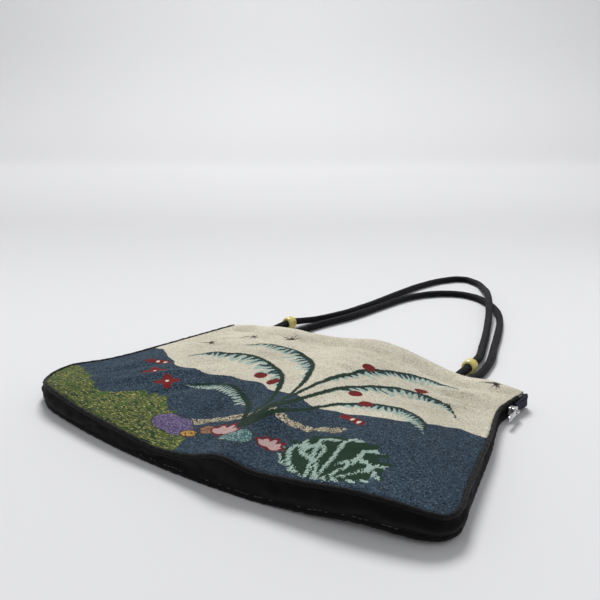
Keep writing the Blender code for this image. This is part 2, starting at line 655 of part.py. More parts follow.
def make_slider(cutters):
    """The slider's block with a slot for the tape's end, and its bridge."""
    middle, pin, half = slider_frame()
    length, width = SLIDER_LENGTH / 2, SLIDER_WIDTH / 2
    block = box("zip_slider", middle - Vector((half, length, width)),
                middle + Vector((half, length, width)))
    chamfer(block, SLIDER_WALL * 0.45)
    reach = PULL_WIRE / 2 + PULL_RUNNING_GAP
    rise = pin.x + reach + BRIDGE_WIRE
    foot = reach + BRIDGE_WIRE
    arch = box("bridge_outer", (middle.x + half * 0.5, pin.y - foot, pin.z - BRIDGE_WIDTH / 2),
               (rise, pin.y + foot, pin.z + BRIDGE_WIDTH / 2))
    chamfer(arch, BRIDGE_WIRE * 0.5)
    window = box("bridge_window", (middle.x + half, pin.y - reach, pin.z - BRIDGE_WIDTH),
                 (pin.x + reach, pin.y + reach, pin.z + BRIDGE_WIDTH))
    for guide in (arch, window):
        hide_cutter(guide, cutters)
    boolean(block, arch, "UNION")
    boolean(block, window, "DIFFERENCE")
    return block


def make_pull(cutters):
    """The pull: a flat tongue with a window whose end bar lies under the bridge."""
    _, pin, _ = slider_frame()
    bar = PULL_WIRE / 2
    foot = PULL_WIRE / 2 + PULL_RUNNING_GAP + BRIDGE_WIRE
    window_end = math.hypot(foot, foot) + PULL_RUNNING_GAP
    half = PULL_WIDTH / 2
    opening = BRIDGE_WIDTH / 2 + PULL_RUNNING_GAP
    tongue = box("zip_pull", (-bar, -PULL_LENGTH + bar, -half), (bar, bar, half))
    window = box("pull_window", (-PULL_WIRE, -bar - window_end, -opening),
                 (PULL_WIRE, -bar, opening))
    tongue.location = pin
    window.location = pin
    hide_cutter(window, cutters)
    boolean(tongue, window, "DIFFERENCE")
    chamfer(tongue, PULL_WIRE * 0.2)
    return tongue


def route_points(route):
    """Evenly spread points on the smooth curve through a route's own points."""
    own = np.array(route) * ROUTE_SCALE
    runs = np.concatenate([[0.0], np.cumsum(np.linalg.norm(np.diff(own, axis=0), axis=1))])
    fine = spline(runs, own, np.linspace(0.0, runs[-1], 40 * len(own)))
    fine_runs = np.concatenate([[0.0], np.cumsum(np.linalg.norm(np.diff(fine, axis=0), axis=1))])
    want = np.linspace(0.0, fine_runs[-1], HANDLE_POINTS)
    points = np.stack([np.interp(want, fine_runs, fine[:, k]) for k in range(3)], -1)
    points[:, 2] = np.maximum(points[:, 2], HANDLE_DIAMETER / 2)
    return points


def make_bead(name, cord, place):
    """A drilled bead, turned round the cord's straight run that lies nearest to its place."""
    middles = (cord[1:] + cord[:-1]) / 2
    away = middles - np.array(place) * ROUTE_SCALE
    run = int(np.argmin(np.linalg.norm(away, axis=1)))
    ahead = Vector(cord[run + 1] - cord[run])
    bore = HANDLE_DIAMETER / 2 + BEAD_CLEARANCE
    outer, half = BEAD_DIAMETER / 2, BEAD_LENGTH / 2
    edge = min(BEAD_EDGE_RADIUS, 0.9 * (outer - bore), 0.9 * half)
    profile = []
    for turn in np.radians([90.0, 60.0, 30.0, 0.0]):
        profile.append((outer - edge + edge * math.cos(turn),
                        half - edge + edge * math.sin(turn)))
    lower = [(r, -z) for r, z in reversed(profile)]
    ring = profile + lower + [(bore, -half), (bore, half)]
    shell = bmesh.new()
    verts = [shell.verts.new((r, 0.0, z)) for r, z in ring]
    for start, end in zip(verts, verts[1:] + verts[:1]):
        shell.edges.new((start, end))
    thing = finish_mesh(name, shell)
    turned = thing.modifiers.new("turned", "SCREW")
    turned.axis = "Z"
    turned.steps = turned.render_steps = BEAD_SIDES
    turned.use_merge_vertices = True
    turned.merge_threshold = 0.00001
    turned.use_normal_calculate = True
    thing.location = middles[run]
    thing.rotation_euler = ahead.to_track_quat("Z", "Y").to_euler()
    return thing


def make_material(name):
    """A Principled material from the table."""
    color, roughness, metallic = MATERIALS[name]
    material = bpy.data.materials.new(name)
    material.use_nodes = True
    shader = material.node_tree.nodes["Principled BSDF"]
    shader.inputs["Base Color"].default_value = color
    shader.inputs["Roughness"].default_value = roughness
    shader.inputs["Metallic"].default_value = metallic
    material.diffuse_color = color
    return material


def place_origin(things, cords):
    """Move everything so that the origin is the bottom middle of the bag without its cords."""
    view = bpy.context.evaluated_depsgraph_get()
    corners = []
    for thing in things:
        if thing.name in cords:
            continue
        shape = thing.evaluated_get(view)
        corners += [thing.matrix_world @ vert.co for vert in shape.to_mesh().vertices]
        shape.to_mesh_clear()
    low = [min(c[k] for c in corners) for k in range(3)]
    high = [max(c[k] for c in corners) for k in range(3)]
    shift = Vector((-(low[0] + high[0]) / 2, -(low[1] + high[1]) / 2, -low[2]))
    for thing in things:
        thing.location += shift
    return shift


def main():
    """Build every piece, give it its material and put it in the bag's collection."""
    clear_scene()
    parts = bpy.data.collections.new(NAME)
    cutters = bpy.data.collections.new(NAME + "_cutters")
    for group in (parts, cutters):
        bpy.context.scene.collection.children.link(group)

    face, ahead = front_face()
    tapes = make_zip_tapes(face, ahead)
    front_cord, back_cord = route_points(FRONT_ROUTE), route_points(BACK_ROUTE)
    pieces = [
        (make_front_panel(face, ahead), "tapestry"), (make_back_panel(), "black_cloth"),
        (make_gusset(), "black_cloth"),
        (make_piping("piping_front", front_height), "piping_cloth"),
        (make_piping("piping_back", back_height), "piping_cloth"),
        (tapes[0], "zip_tape"), (tapes[1], "zip_tape"), (make_zip_tail(), "zip_tape"),
        (make_slider(cutters), "zip_metal"), (make_pull(cutters), "zip_metal"),
        (make_tube("handle_front", front_cord, HANDLE_DIAMETER, 3), "cord_cloth"),
        (make_tube("handle_back", back_cord, HANDLE_DIAMETER, 3), "cord_cloth"),
        (make_bead("bead_front_left", front_cord, LEFT_BEAD), "bead"),
        (make_bead("bead_front_right", front_cord, RIGHT_BEAD), "bead"),
    ]
    materials = {name: make_material(name) for name in MATERIALS}
    for thing, finish in pieces:
        parts.objects.link(thing)
        thing.data.materials.append(materials[finish])
    bpy.context.view_layer.update()
    cords = {"handle_front", "handle_back", "bead_front_left", "bead_front_right"}
    guides = list(cutters.objects)
    shift = place_origin([thing for thing, _ in pieces], cords)
    for guide in guides:
        guide.location += shift


main()
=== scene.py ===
"""Looks of a flat tapestry tote bag that lies on its back panel.

The shapes follow the solids of the frame: X runs along the base, Y from the base to the
mouth, and Z up from the surface. The sizes are in metres, and the woven design's own
tables are in millimetres from the middle of the base.
"""

from __future__ import annotations

import logging
import math
import sys
from dataclasses import dataclass, field
from enum import Enum
from typing import Callable, NamedTuple, Sequence

import bmesh
import bpy
import numpy as np
from mathutils import Matrix, Vector

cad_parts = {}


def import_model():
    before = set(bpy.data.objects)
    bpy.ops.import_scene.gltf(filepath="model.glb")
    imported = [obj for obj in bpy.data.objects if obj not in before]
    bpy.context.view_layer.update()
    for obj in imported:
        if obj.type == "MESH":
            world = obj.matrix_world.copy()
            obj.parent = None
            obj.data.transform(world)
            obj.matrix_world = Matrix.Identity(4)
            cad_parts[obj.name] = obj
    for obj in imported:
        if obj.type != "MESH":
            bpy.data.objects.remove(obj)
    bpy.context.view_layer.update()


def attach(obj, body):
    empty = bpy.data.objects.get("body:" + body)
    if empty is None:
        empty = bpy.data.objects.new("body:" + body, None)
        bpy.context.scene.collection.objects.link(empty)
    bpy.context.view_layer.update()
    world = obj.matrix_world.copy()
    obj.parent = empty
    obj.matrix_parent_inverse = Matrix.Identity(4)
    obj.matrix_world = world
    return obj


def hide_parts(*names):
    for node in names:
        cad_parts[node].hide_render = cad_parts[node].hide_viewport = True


LOG = logging.getLogger("tote")

# The bag's own frame has its origin at the middle of the base; the row's frame is moved
SHIFT = np.array([0.00207, -0.10004, 0.0])
BAG, PULL = "bag", "pull"

Array = np.ndarray
Pairs = Sequence[tuple[float, float]]
Socket = bpy.types.NodeSocket


class Layer(Enum):
    """The two sides of the bag."""

    FRONT = "front"
    BACK = "back"


def spline(stations: Sequence[float], values: Array, at: Array) -> Array:
    """Read a smooth curve through rows of values.

    Args:
        stations: where the rows are, in rising order.
        values: one value or one vector for each station.
        at: the places to read.

    Returns:
        The values at those places.
    """
    stations = np.asarray(stations, float)
    values = np.asarray(values, float)
    flat = values.ndim == 1
    if flat:
        values = values[:, None]
    at = np.clip(np.asarray(at, float), stations[0], stations[-1])
    slopes = np.gradient(values, stations, axis=0)
    piece = np.clip(np.searchsorted(stations, at, side="right") - 1, 0, len(stations) - 2)
    shape = at.shape + (1,) * (values.ndim - 1)
    span = (stations[piece + 1] - stations[piece]).reshape(shape)
    share = (at - stations[piece]).reshape(shape) / span
    start, end = values[piece], values[piece + 1]
    lead, tail = slopes[piece] * span, slopes[piece + 1] * span
    result = (
        start * (2 * share**3 - 3 * share**2 + 1) + lead * (share**3 - 2 * share**2 + share)
        + end * (3 * share**2 - 2 * share**3) + tail * (share**3 - share**2)
    )
    return result[..., 0] if flat else result


@dataclass(frozen=True)
class Profile:
    """A smooth curve of one value over another, from a short table of pairs."""

    rows: Pairs

    def at(self, place: Array) -> Array:
        """The value at each place."""
        table = np.array(self.rows, float)
        return spline(table[:, 0], table[:, 1], place)


def crowded(count: int, crowding: float = 0.55) -> Array:
    """Shares from 0 to 1 that lie closer together towards both ends."""
    share = np.linspace(0.0, 1.0, count + 1)
    return share - crowding * np.sin(2 * math.pi * share) / (2 * math.pi)


def ripples(place: Array, wavelength: float, seed: int, waves: int = 9) -> Array:
    """Smooth unevenness over places, without a repeat that shows.

    Args:
        place: points, with their coordinates along the last axis.
        wavelength: the middle size of the waves, in the points' own unit.
        seed: the number that fixes the pattern.
        waves: how many waves are summed.

    Returns:
        A value of about -1 to 1 for each point.
    """
    dice = np.random.default_rng(seed)
    total = np.zeros(place.shape[:-1])
    for _ in range(waves):
        way = dice.normal(size=place.shape[-1])
        way *= 2 * math.pi / (wavelength * dice.uniform(0.7, 1.5) * np.linalg.norm(way))
        total += np.sin(place @ way + dice.uniform(0, 2 * math.pi))
    return total / math.sqrt(waves)


@dataclass
class BagShape:
    """The bag's outline, edges and surfaces, in the bag's own frame."""

    base_width: float = 0.380
    top_width: float = 0.303
    height: float = 0.220
    depth: float = 0.020
    mouth_height: float = 0.0258
    base_bow: float = 0.025
    left_radius: float = 0.042
    right_radius: float = 0.024
    back_lift: float = 0.005
    puff: float = 0.0035
    cloth: float = 0.0016
    band_cloth: float = 0.0014
    piping: float = 0.0035
    hem: float = 0.0042
    hem_turn: float = 0.011
    hem_swell: float = 0.0008
    clearance: float = 0.0003
    left_top: float = 1.00
    right_top: float = 0.97
    left_side: Profile = Profile((
        (0.00, 0.000), (0.10, 0.012), (0.16, 0.030), (0.22, 0.010), (0.30, -0.024),
        (0.40, -0.034), (0.54, -0.028), (0.75, -0.014), (1.00, 0.003)))
    right_side: Profile = Profile((
        (0.00, -0.010), (0.12, -0.024), (0.27, -0.033), (0.44, -0.040), (0.56, -0.045),
        (0.68, -0.058), (0.79, -0.060), (0.89, -0.026), (0.97, 0.004)))
    base_edge: Profile = Profile((
        (0.00, 0.78), (0.07, 0.94), (0.18, 0.85), (0.36, 0.73), (0.45, 0.64), (0.53, 0.82),
        (0.60, 1.17), (0.67, 1.00), (0.74, 1.07), (0.86, 1.22), (0.94, 1.12), (1.00, 0.88)))
    left_edge: Profile = Profile(((0.0, 0.00), (0.3, 0.03), (0.7, 0.02), (1.0, 0.00)))
    right_edge: Profile = Profile((
        (0.0, 0.00), (0.25, 0.02), (0.5, -0.02), (0.78, -0.10), (0.9, -0.06), (1.0, 0.00)))
    top_out: Profile = Profile((
        (0.00, 0.000), (0.10, 0.006), (0.25, 0.016), (0.34, 0.026), (0.43, 0.036),
        (0.53, 0.044), (0.62, 0.036), (0.72, 0.016), (0.82, 0.001), (0.92, 0.000),
        (1.00, 0.000)))
    top_rise: Profile = Profile((
        (0.00, 0.47), (0.10, 0.63), (0.25, 0.80), (0.34, 0.77), (0.43, 0.83), (0.53, 0.99),
        (0.62, 0.94), (0.72, 0.76), (0.82, 0.58), (0.92, 0.62), (1.00, 0.53)))
    lift_edge: Profile = Profile((
        (0.00, 0.0), (0.58, 0.0), (0.63, 0.5), (0.67, 1.0), (0.71, 0.7), (0.76, 0.4),
        (0.84, 0.0), (1.00, 0.0)))
    band_belly: Profile = Profile((
        (0.00, 0.00), (0.06, 0.02), (0.18, 0.10), (0.30, 0.14), (0.40, 0.06), (0.50, -0.06),
        (0.56, 0.02), (0.66, 0.12), (0.74, 0.14), (0.82, 0.04), (0.90, -0.14), (0.95, -0.10),
        (0.985, 0.00), (1.00, 0.00)))
    # Folds: across and up in shares, turn in degrees, length, width and height in shares
    folds: Sequence[tuple[float, ...]] = (
        (0.44, 0.10, 80.0, 0.36, 0.080, -0.14), (0.575, 0.12, 96.0, 0.40, 0.075, 0.15),
        (0.80, 0.20, 35.0, 0.60, 0.120, 0.12), (0.86, 0.72, 12.0, 0.42, 0.055, -0.10),
        (0.90, 0.60, 160.0, 0.36, 0.050, 0.09), (0.28, 0.86, 4.0, 0.50, 0.045, -0.10),
        (0.20, 0.70, 20.0, 0.55, 0.090, 0.08), (0.10, 0.35, 62.0, 0.40, 0.080, -0.08),
        (0.52, 0.62, 75.0, 0.60, 0.160, 0.10))
    # Fine creases that only the looks have: x, y, turn, length, width and height, in mm
    creases: Sequence[tuple[float, ...]] = (
        (118, 176, -4, 62, 6, 1.1), (112, 168, -8, 56, 6, -1.2), (128, 150, 14, 40, 6, 1.1),
        (96, 196, -6, 60, 6, -1.0), (138, 196, 8, 26, 6, 0.9), (120, 132, -22, 34, 6, 1.0),
        (122, 142, -18, 30, 5, -1.0), (134, 160, 6, 24, 5, -0.9), (96, 142, 18, 30, 6, -0.9), (-60, 198, 6, 70, 6, -0.8), (-96, 190, 18, 46, 7, 0.8),
        (-120, 168, 40, 40, 7, -0.6), (-30, 205, -4, 60, 5, 0.7), (34, 210, -8, 60, 6, -0.7),
        (-132, 60, 62, 70, 13, -1.3), (-96, 60, 50, 90, 14, 1.5), (-66, 52, 56, 80, 13, -1.5),
        (-30, 0, 78, 44, 9, 1.1), (64, 30, 104, 50, 9, -0.7), (150, 60, 84, 60, 8, 0.6),
        (136, 108, 60, 34, 6, -0.6), (8, -4, 84, 34, 8, -0.9))
    crease_depth: float = 2.1
    outline: Array = field(init=False, repr=False)
    shares: Array = field(init=False, repr=False)
    left_middle: float = field(init=False)
    right_middle: float = field(init=False)
    length: float = field(init=False)

    def __post_init__(self) -> None:
        """Trace the outline once, because every piece reads it."""
        half = self.base_width / 2
        left_up = np.linspace(self.left_top, self.left_radius / self.height, 60)
        right_up = np.linspace(self.right_radius / self.height, self.right_top, 60)
        left = np.c_[self.side_x(-1, self.left_side, left_up), left_up * self.height]
        right = np.c_[self.side_x(1, self.right_side, right_up), right_up * self.height]
        sharp = float(self.side_x(1, self.right_side, np.array(0.0)))
        across = np.linspace(-half + self.left_radius, sharp - self.right_radius, 90)
        base = np.c_[across, self.base_y(across)]
        left_turn = self.rounded(left[-1], (-half, 0.0), base[0])
        right_turn = self.rounded(base[-1], (sharp, float(self.base_y(sharp))), right[0])
        self.outline = np.vstack([left, left_turn, base, right_turn, right])
        steps = np.linalg.norm(np.diff(self.outline, axis=0), axis=1)
        runs = np.concatenate([[0.0], np.cumsum(steps)])
        self.length = float(runs[-1])
        self.shares = runs / self.length
        turn = len(left_turn)
        self.left_middle = float(self.shares[len(left) + turn // 2])
        self.right_middle = float(self.shares[len(left) + turn + len(base) + turn // 2])

    def side_x(self, side: int, rows: Profile, up: Array) -> Array:
        """X of a side's line at shares of the height; side is -1 on the left."""
        half = self.base_width / 2
        straight = half + (self.top_width / 2 - half) * np.asarray(up)
        return side * (straight + half * rows.at(up))

    def base_y(self, x: Array | float) -> Array:
        """Y of the bowed base edge."""
        return -self.base_bow * (1 - (np.asarray(x) / (self.base_width / 2)) ** 2)

    @staticmethod
    def rounded(start: Array, corner: Sequence[float], end: Array, count: int = 21) -> Array:
        """Points of a round corner, without its two ends."""
        share = (np.arange(count) + 1.0)[:, None] / (count + 1)
        return start * (1 - share) ** 2 + np.array(corner) * 2 * share * (1 - share) + end * share**2

    def outline_at(self, along: Array, inset: Array | float = 0.0) -> tuple[Array, Array]:
        """Points of the outline moved in by an inset, and the outward directions there.

        Args:
            along: shares of the outline's length, from the mouth's left end.
            inset: how far the points are moved in.

        Returns:
            The plan points and the unit vectors that point away from the bag.
        """
        along = np.asarray(along, float)

        def read(share: Array) -> Array:
            share = np.clip(share, 0.0, 1.0)
            return np.stack([np.interp(share, self.shares, self.outline[:, k]) for k in (0, 1)], -1)

        ahead = read(along + 0.004) - read(along - 0.004)
        ahead /= np.linalg.norm(ahead, axis=-1, keepdims=True)
        outward = np.stack([ahead[..., 1], -ahead[..., 0]], -1)
        return read(along) - outward * np.asarray(inset)[..., None], outward

    def front_height(self, along: Array) -> Array:
        """Height of the front piping's middle at shares of the outline."""
        along = np.asarray(along, float)
        left = 1 - along / self.left_middle
        base = (along - self.left_middle) / (self.right_middle - self.left_middle)
        right = (along - self.right_middle) / (1 - self.right_middle)

        def side(rows: Profile, share: Array, low: float, high: float) -> Array:
            share = np.clip(share, 0, 1)
            low, high = low * self.depth, high * self.mouth_height - self.cloth / 2
            return self.depth * rows.at(share) + low + (high - low) * share

        height = self.depth * self.base_edge.at(np.clip(base, 0, 1))
        height = np.where(left > 0, side(self.left_edge, left, self.base_edge.rows[0][1],
                                         self.top_rise.rows[0][1]), height)
        return np.where(right > 0, side(self.right_edge, right, self.base_edge.rows[-1][1],
                                        self.top_rise.rows[-1][1]), height)

    def back_height(self, along: Array) -> Array:
        """Height of the back piping's middle at shares of the outline."""
        return self.piping / 2 + self.back_lift * np.maximum(self.lift_edge.at(along), 0.0)

    def top_edge(self, across: Array, inset: float) -> tuple[Array, Array]:
        """Plan and height of the front panel's mouth edge."""
        across = np.asarray(across, float)
        ends = self.outline_at(np.array([0.0, 1.0]), inset)[0]
        plan = ends[0] + (ends[1] - ends[0]) * across[..., None]
        plan[..., 1] += self.top_out.at(across) * self.height
        return plan, self.top_rise.at(across) * self.mouth_height - self.cloth / 2

    def panel_plan(self, across: Array, up: Array, inset: float,
                   mouth: Callable[[Array], Array]) -> Array:
        """Plan of a panel's fine grid, spread evenly from its four edges.

        Args:
            across: shares of the columns, from left to right.
            up: shares of the rows, from the base to the mouth.
            inset: how far inside the outline the panel ends.
            mouth: gives the plan of the mouth edge at shares of its length.

        Returns:
            The plan points, rows by columns.
        """
        columns, rows = crowded(34), crowded(18)
        plan = np.zeros((len(rows), len(columns), 2))
        span = self.right_middle - self.left_middle
        plan[0] = self.outline_at(self.left_middle + columns * span, inset)[0]
        plan[:, 0] = self.outline_at(self.left_middle * (1 - rows), inset)[0]
        plan[:, -1] = self.outline_at(self.right_middle + rows * (1 - self.right_middle), inset)[0]
        plan[-1] = mouth(columns)
        share = rows[1:-1, None, None]
        plan[1:-1, 1:-1] = plan[None, 0, 1:-1] * (1 - share) + plan[None, -1, 1:-1] * share
        for _ in range(800):
            plan[1:-1, 1:-1] = (plan[:-2, 1:-1] + plan[2:, 1:-1]
                                + plan[1:-1, :-2] + plan[1:-1, 2:]) / 4
        wide = spline(columns, plan.transpose(1, 0, 2), across).transpose(1, 0, 2)
        return spline(rows, wide, up)

    def fold_relief(self, plan: Array) -> Array:
        """Height that the large folds add at points of the plan."""
        relief = np.zeros(plan.shape[:-1])
        for across, up, turn, length, width, height in self.folds:
            middle = ((across - 0.5) * self.base_width, up * self.height)
            relief += height * self.depth * self.hump(
                plan, middle, turn, length * self.height, width * self.height)
        return relief

    @staticmethod
    def hump(plan: Array, middle: Sequence[float], turn: float, length: float,
             width: float) -> Array:
        """A soft oblong bump of height 1 round a point of the plan."""
        way = math.radians(turn)
        away = plan - np.array(middle)
        along = away[..., 0] * math.cos(way) + away[..., 1] * math.sin(way)
        aside = away[..., 1] * math.cos(way) - away[..., 0] * math.sin(way)
        return np.exp(-((along / (length / 2)) ** 2) - (aside / (width / 2)) ** 2)

    def front_surface(self, across: Array, up: Array, plan: Array) -> Array:
        """The front panel's middle surface with its folds, up to the mouth edge."""
        a, b = np.asarray(across, float), np.asarray(up, float)
        fade_a, fade_b = a * a * (3 - 2 * a), b * b * (3 - 2 * b)
        span = self.right_middle - self.left_middle

        def loft(a: Array, b: Array) -> tuple[Array, Array, Array, Array]:
            """The four edges' heights at shares of their lengths."""
            return (self.front_height(self.left_middle + a * span), self.top_edge(a, 0.0)[1],
                    self.front_height(self.left_middle * (1 - b)),
                    self.front_height(self.right_middle + b * (1 - self.right_middle)))

        base, top, left, right = loft(a, b)
        ends = loft(np.array([0.0, 1.0]), np.array([0.0, 1.0]))
        corners = ((1 - fade_a) * (1 - fade_b) * ends[0][0] + fade_a * (1 - fade_b) * ends[0][1]
                   + (1 - fade_a) * fade_b * ends[1][0] + fade_a * fade_b * ends[1][1])
        height = ((1 - fade_b) * base + fade_b * top
                  + (1 - fade_a) * left + fade_a * right - corners)
        inside = np.clip(np.sin(math.pi * a) * np.sin(math.pi * b) * 2.2, 0, 1)
        height = height + self.puff * inside + self.fold_relief(plan) * inside
        from_mouth = (1 - b) * self.height / self.hem_turn
        swell = np.exp(-(((from_mouth - 0.45) / 0.35) ** 2))
        groove = np.exp(-(((from_mouth - 1.15) / 0.35) ** 2))
        ends = np.clip(np.minimum(a, 1 - a) * 12, 0, 1)
        height = height + self.hem_swell * ends * (1.15 * swell - 1.3 * groove)
        return np.concatenate([plan, (height + self.fine_relief(plan, a, b))[..., None]], -1)

    def fine_relief(self, plan: Array, a: Array, b: Array) -> Array:
        """Creases, slackness and puckers that the cloth has over its large folds."""
        inside = np.clip(np.minimum(np.minimum(a, 1 - a) * 14, np.minimum(b, 1 - b) * 9), 0, 1)
        relief = np.zeros(plan.shape[:-1])
        for x, y, turn, length, width, height in self.creases:
            relief += self.crease_depth * height / 1000 * self.hump(plan, (x / 1000, y / 1000), turn,
                                                length / 1000, width / 1000)
        relief += 0.00055 * ripples(plan, 0.045, 5) + 0.00016 * ripples(plan, 0.016, 8)
        upper = np.clip((plan[..., 1] - 0.10) / 0.05, 0, 1)
        relief += upper * 0.00040 * ripples(plan * np.array([0.55, 1.0]), 0.013, 21)
        from_mouth = (1 - b) * self.height / 0.009
        waves = 1 + 0.5 * ripples(plan, 0.03, 61)
        hem = 0.0010 * waves * np.exp(-((from_mouth - 0.42) / 0.36) ** 2)
        hem -= 0.0012 * waves * np.exp(-((from_mouth - 1.15) / 0.26) ** 2)
        hem *= np.clip(np.minimum(a, 1 - a) * 30, 0, 1)
        pucker = np.exp(-((from_mouth - 1.7) / 0.9) ** 2)
        relief += 0.00035 * pucker * ripples(plan * np.array([1.0, 0.25]), 0.010, 71)
        to_side = np.minimum(np.minimum(a, 1 - a) * self.base_width, b * self.height)
        seam = np.exp(-((to_side - 0.004) / 0.0035) ** 2)
        return relief * inside + hem + 0.00022 * seam * ripples(plan, 0.011, 31)


# The handles' routes: x, y and z in shares of the top width, the height and the diameter
FRONT_ROUTE = (
    (-0.3927, 0.9341, 0.760), (-0.3944, 1.0091, 0.800), (-0.3944, 1.1364, 0.960),
    (-0.3911, 1.2455, 0.933), (-0.3663, 1.3591, 0.560), (-0.3267, 1.4955, 0.520),
    (-0.3003, 1.6818, 0.520), (-0.2772, 2.0682, 0.520), (-0.2574, 2.2955, 0.520),
    (-0.2178, 2.4727, 0.520), (-0.1584, 2.5636, 0.520), (-0.0891, 2.5273, 0.520),
    (-0.0132, 2.3955, 0.693), (0.0347, 2.2636, 1.333), (0.0749, 2.1418, 1.680),
    (0.1089, 2.0318, 1.573), (0.1617, 1.8409, 0.880), (0.2013, 1.6773, 0.533),
    (0.2508, 1.4545, 0.520), (0.2772, 1.3318, 0.613), (0.2904, 1.2364, 0.933),
    (0.2937, 1.1364, 0.947), (0.2921, 1.0227, 0.800), (0.2904, 0.9477, 0.760),
)
BACK_ROUTE = (
    (-0.3399, 0.9341, 0.760), (-0.3399, 1.0182, 0.773), (-0.3366, 1.1273, 0.520),
    (-0.3135, 1.3182, 0.520), (-0.2739, 1.5227, 0.520), (-0.2475, 1.7727, 0.520),
    (-0.2244, 1.9773, 0.520), (-0.1815, 2.1136, 0.520), (-0.1320, 2.1909, 0.520),
    (-0.0693, 2.2318, 0.520), (0.0000, 2.2182, 0.520), (0.0792, 2.1364, 0.520),
    (0.1485, 2.0136, 0.520), (0.1980, 1.8636, 0.520), (0.2409, 1.6818, 0.520),
    (0.2805, 1.4909, 0.520), (0.3201, 1.2955, 0.520), (0.3333, 1.1273, 0.520),
    (0.3300, 1.0182, 0.773), (0.3267, 0.9477, 0.760),
)


def shade(red: int, green: int, blue: int) -> tuple[float, float, float, float]:
    """A colour from its screen values of 0 to 255, in the renderer's linear scale."""
    return (*(((v / 255 + 0.055) / 1.055) ** 2.4 if v > 10 else v / 3294.6
              for v in (red, green, blue)), 1.0)


class Graph:
    """Builds one material's nodes in few words."""

    def __init__(self, name: str) -> None:
        """Start a material that holds only its surface shader."""
        self.material = bpy.data.materials.new(name)
        self.material.use_nodes = True
        self.nodes = self.material.node_tree.nodes
        self.links = self.material.node_tree.links
        self.shader = self.nodes["Principled BSDF"]

    def put(self, socket: Socket, value: Socket | float | Sequence[float]) -> None:
        """Link a socket to another, or set its own value."""
        if isinstance(value, bpy.types.NodeSocket):
            self.links.new(value, socket)
        else:
            socket.default_value = value

    def math(self, how: str, first: Socket | float, second: Socket | float = 0.0,
             clamp: bool = False) -> Socket:
        """The result of a calculation on one or two values."""
        node = self.nodes.new("ShaderNodeMath")
        node.operation, node.use_clamp = how, clamp
        self.put(node.inputs[0], first)
        self.put(node.inputs[1], second)
        return node.outputs[0]

    def vector(self, how: str, first: Socket, second: Socket | Sequence[float]) -> Socket:
        """The result of a calculation on two vectors."""
        node = self.nodes.new("ShaderNodeVectorMath")
        node.operation = how
        self.put(node.inputs[0], first)
        self.put(node.inputs[1], second)
        return node.outputs[0]

    def mix(self, share: Socket | float, first: Socket | Sequence[float],
            second: Socket | Sequence[float]) -> Socket:
        """One colour or another, by a share."""
        node = self.nodes.new("ShaderNodeMix")
        node.data_type = "RGBA"
        self.put(node.inputs[0], share)
        self.put(node.inputs[6], first)
        self.put(node.inputs[7], second)
        return node.outputs[2]

    def tint(self, color: Socket | Sequence[float], value: Socket | float) -> Socket:
        """A colour made lighter or darker by a value."""
        node = self.nodes.new("ShaderNodeVectorMath")
        node.operation = "SCALE"
        self.put(node.inputs[0], color if isinstance(color, bpy.types.NodeSocket) else color[:3])
        self.put(node.inputs["Scale"], value)
        return node.outputs[0]

    def ramp(self, value: Socket, low: float, high: float, first: float = 0.0,
             second: float = 1.0) -> Socket:
        """A value moved smoothly from one range to another."""
        node = self.nodes.new("ShaderNodeMapRange")
        node.interpolation_type = "SMOOTHSTEP"
        for socket, number in zip(node.inputs[:5], (value, low, high, first, second)):
            self.put(socket, number)
        return node.outputs[0]

    def noise(self, place: Socket, scale: float, detail: float = 2.0) -> Socket:
        """Soft noise of about 0 to 1."""
        node = self.nodes.new("ShaderNodeTexNoise")
        self.put(node.inputs["Vector"], place)
        self.put(node.inputs["Scale"], scale)
        self.put(node.inputs["Detail"], detail)
        return node.outputs["Fac"]

    def dice(self, place: Socket) -> Socket:
        """A number of 0 to 1 that is the same all over a cell."""
        node = self.nodes.new("ShaderNodeTexWhiteNoise")
        node.noise_dimensions = "3D"
        self.put(node.inputs["Vector"], place)
        return node.outputs["Value"]

    def spots(self, place: Socket, scale: float) -> Socket:
        """Distance to the nearest point of a scatter."""
        node = self.nodes.new("ShaderNodeTexVoronoi")
        self.put(node.inputs["Vector"], place)
        self.put(node.inputs["Scale"], scale)
        return node.outputs["Distance"]

    def parts(self, vector: Socket) -> tuple[Socket, Socket, Socket]:
        """The three numbers of a vector."""
        node = self.nodes.new("ShaderNodeSeparateXYZ")
        self.put(node.inputs[0], vector)
        return node.outputs[0], node.outputs[1], node.outputs[2]

    def joined(self, x: Socket | float, y: Socket | float, z: Socket | float = 0.0) -> Socket:
        """A vector of three numbers."""
        node = self.nodes.new("ShaderNodeCombineXYZ")
        for socket, value in zip(node.inputs, (x, y, z)):
            self.put(socket, value)
        return node.outputs[0]

    def cloth_place(self) -> Socket:
        """The place on the flat cloth, in metres."""
        node = self.nodes.new("ShaderNodeUVMap")
        node.uv_map = "cloth"
        return node.outputs[0]

    def solid_place(self) -> Socket:
        """The place in the object, in metres."""
        return self.nodes.new("ShaderNodeTexCoord").outputs["Object"]

    def field(self, name: str) -> tuple[Socket, Socket, Socket]:
        """The three numbers that a mesh keeps under a name."""
        node = self.nodes.new("ShaderNodeAttribute")
        node.attribute_name = name
        return self.parts(node.outputs["Vector"])

    def bump(self, height: Socket, depth: float, strength: float = 1.0,
             under: Socket | None = None) -> Socket:
        """A surface direction bent by a height; depth is in metres for a height of 1."""
        node = self.nodes.new("ShaderNodeBump")
        self.put(node.inputs["Height"], height)
        node.inputs["Distance"].default_value = depth
        node.inputs["Strength"].default_value = strength
        if under is not None:
            self.links.new(under, node.inputs["Normal"])
        return node.outputs[0]

    def finish(self, **sockets: Socket | float | Sequence[float]) -> bpy.types.Material:
        """Give the shader its colour and the rest, and return the material.

        Args:
            sockets: the shader's sockets, with underscores for the blanks in their names.
        """
        for name, value in sockets.items():
            self.put(self.shader.inputs[name.replace("_", " ")], value)
        return self.material


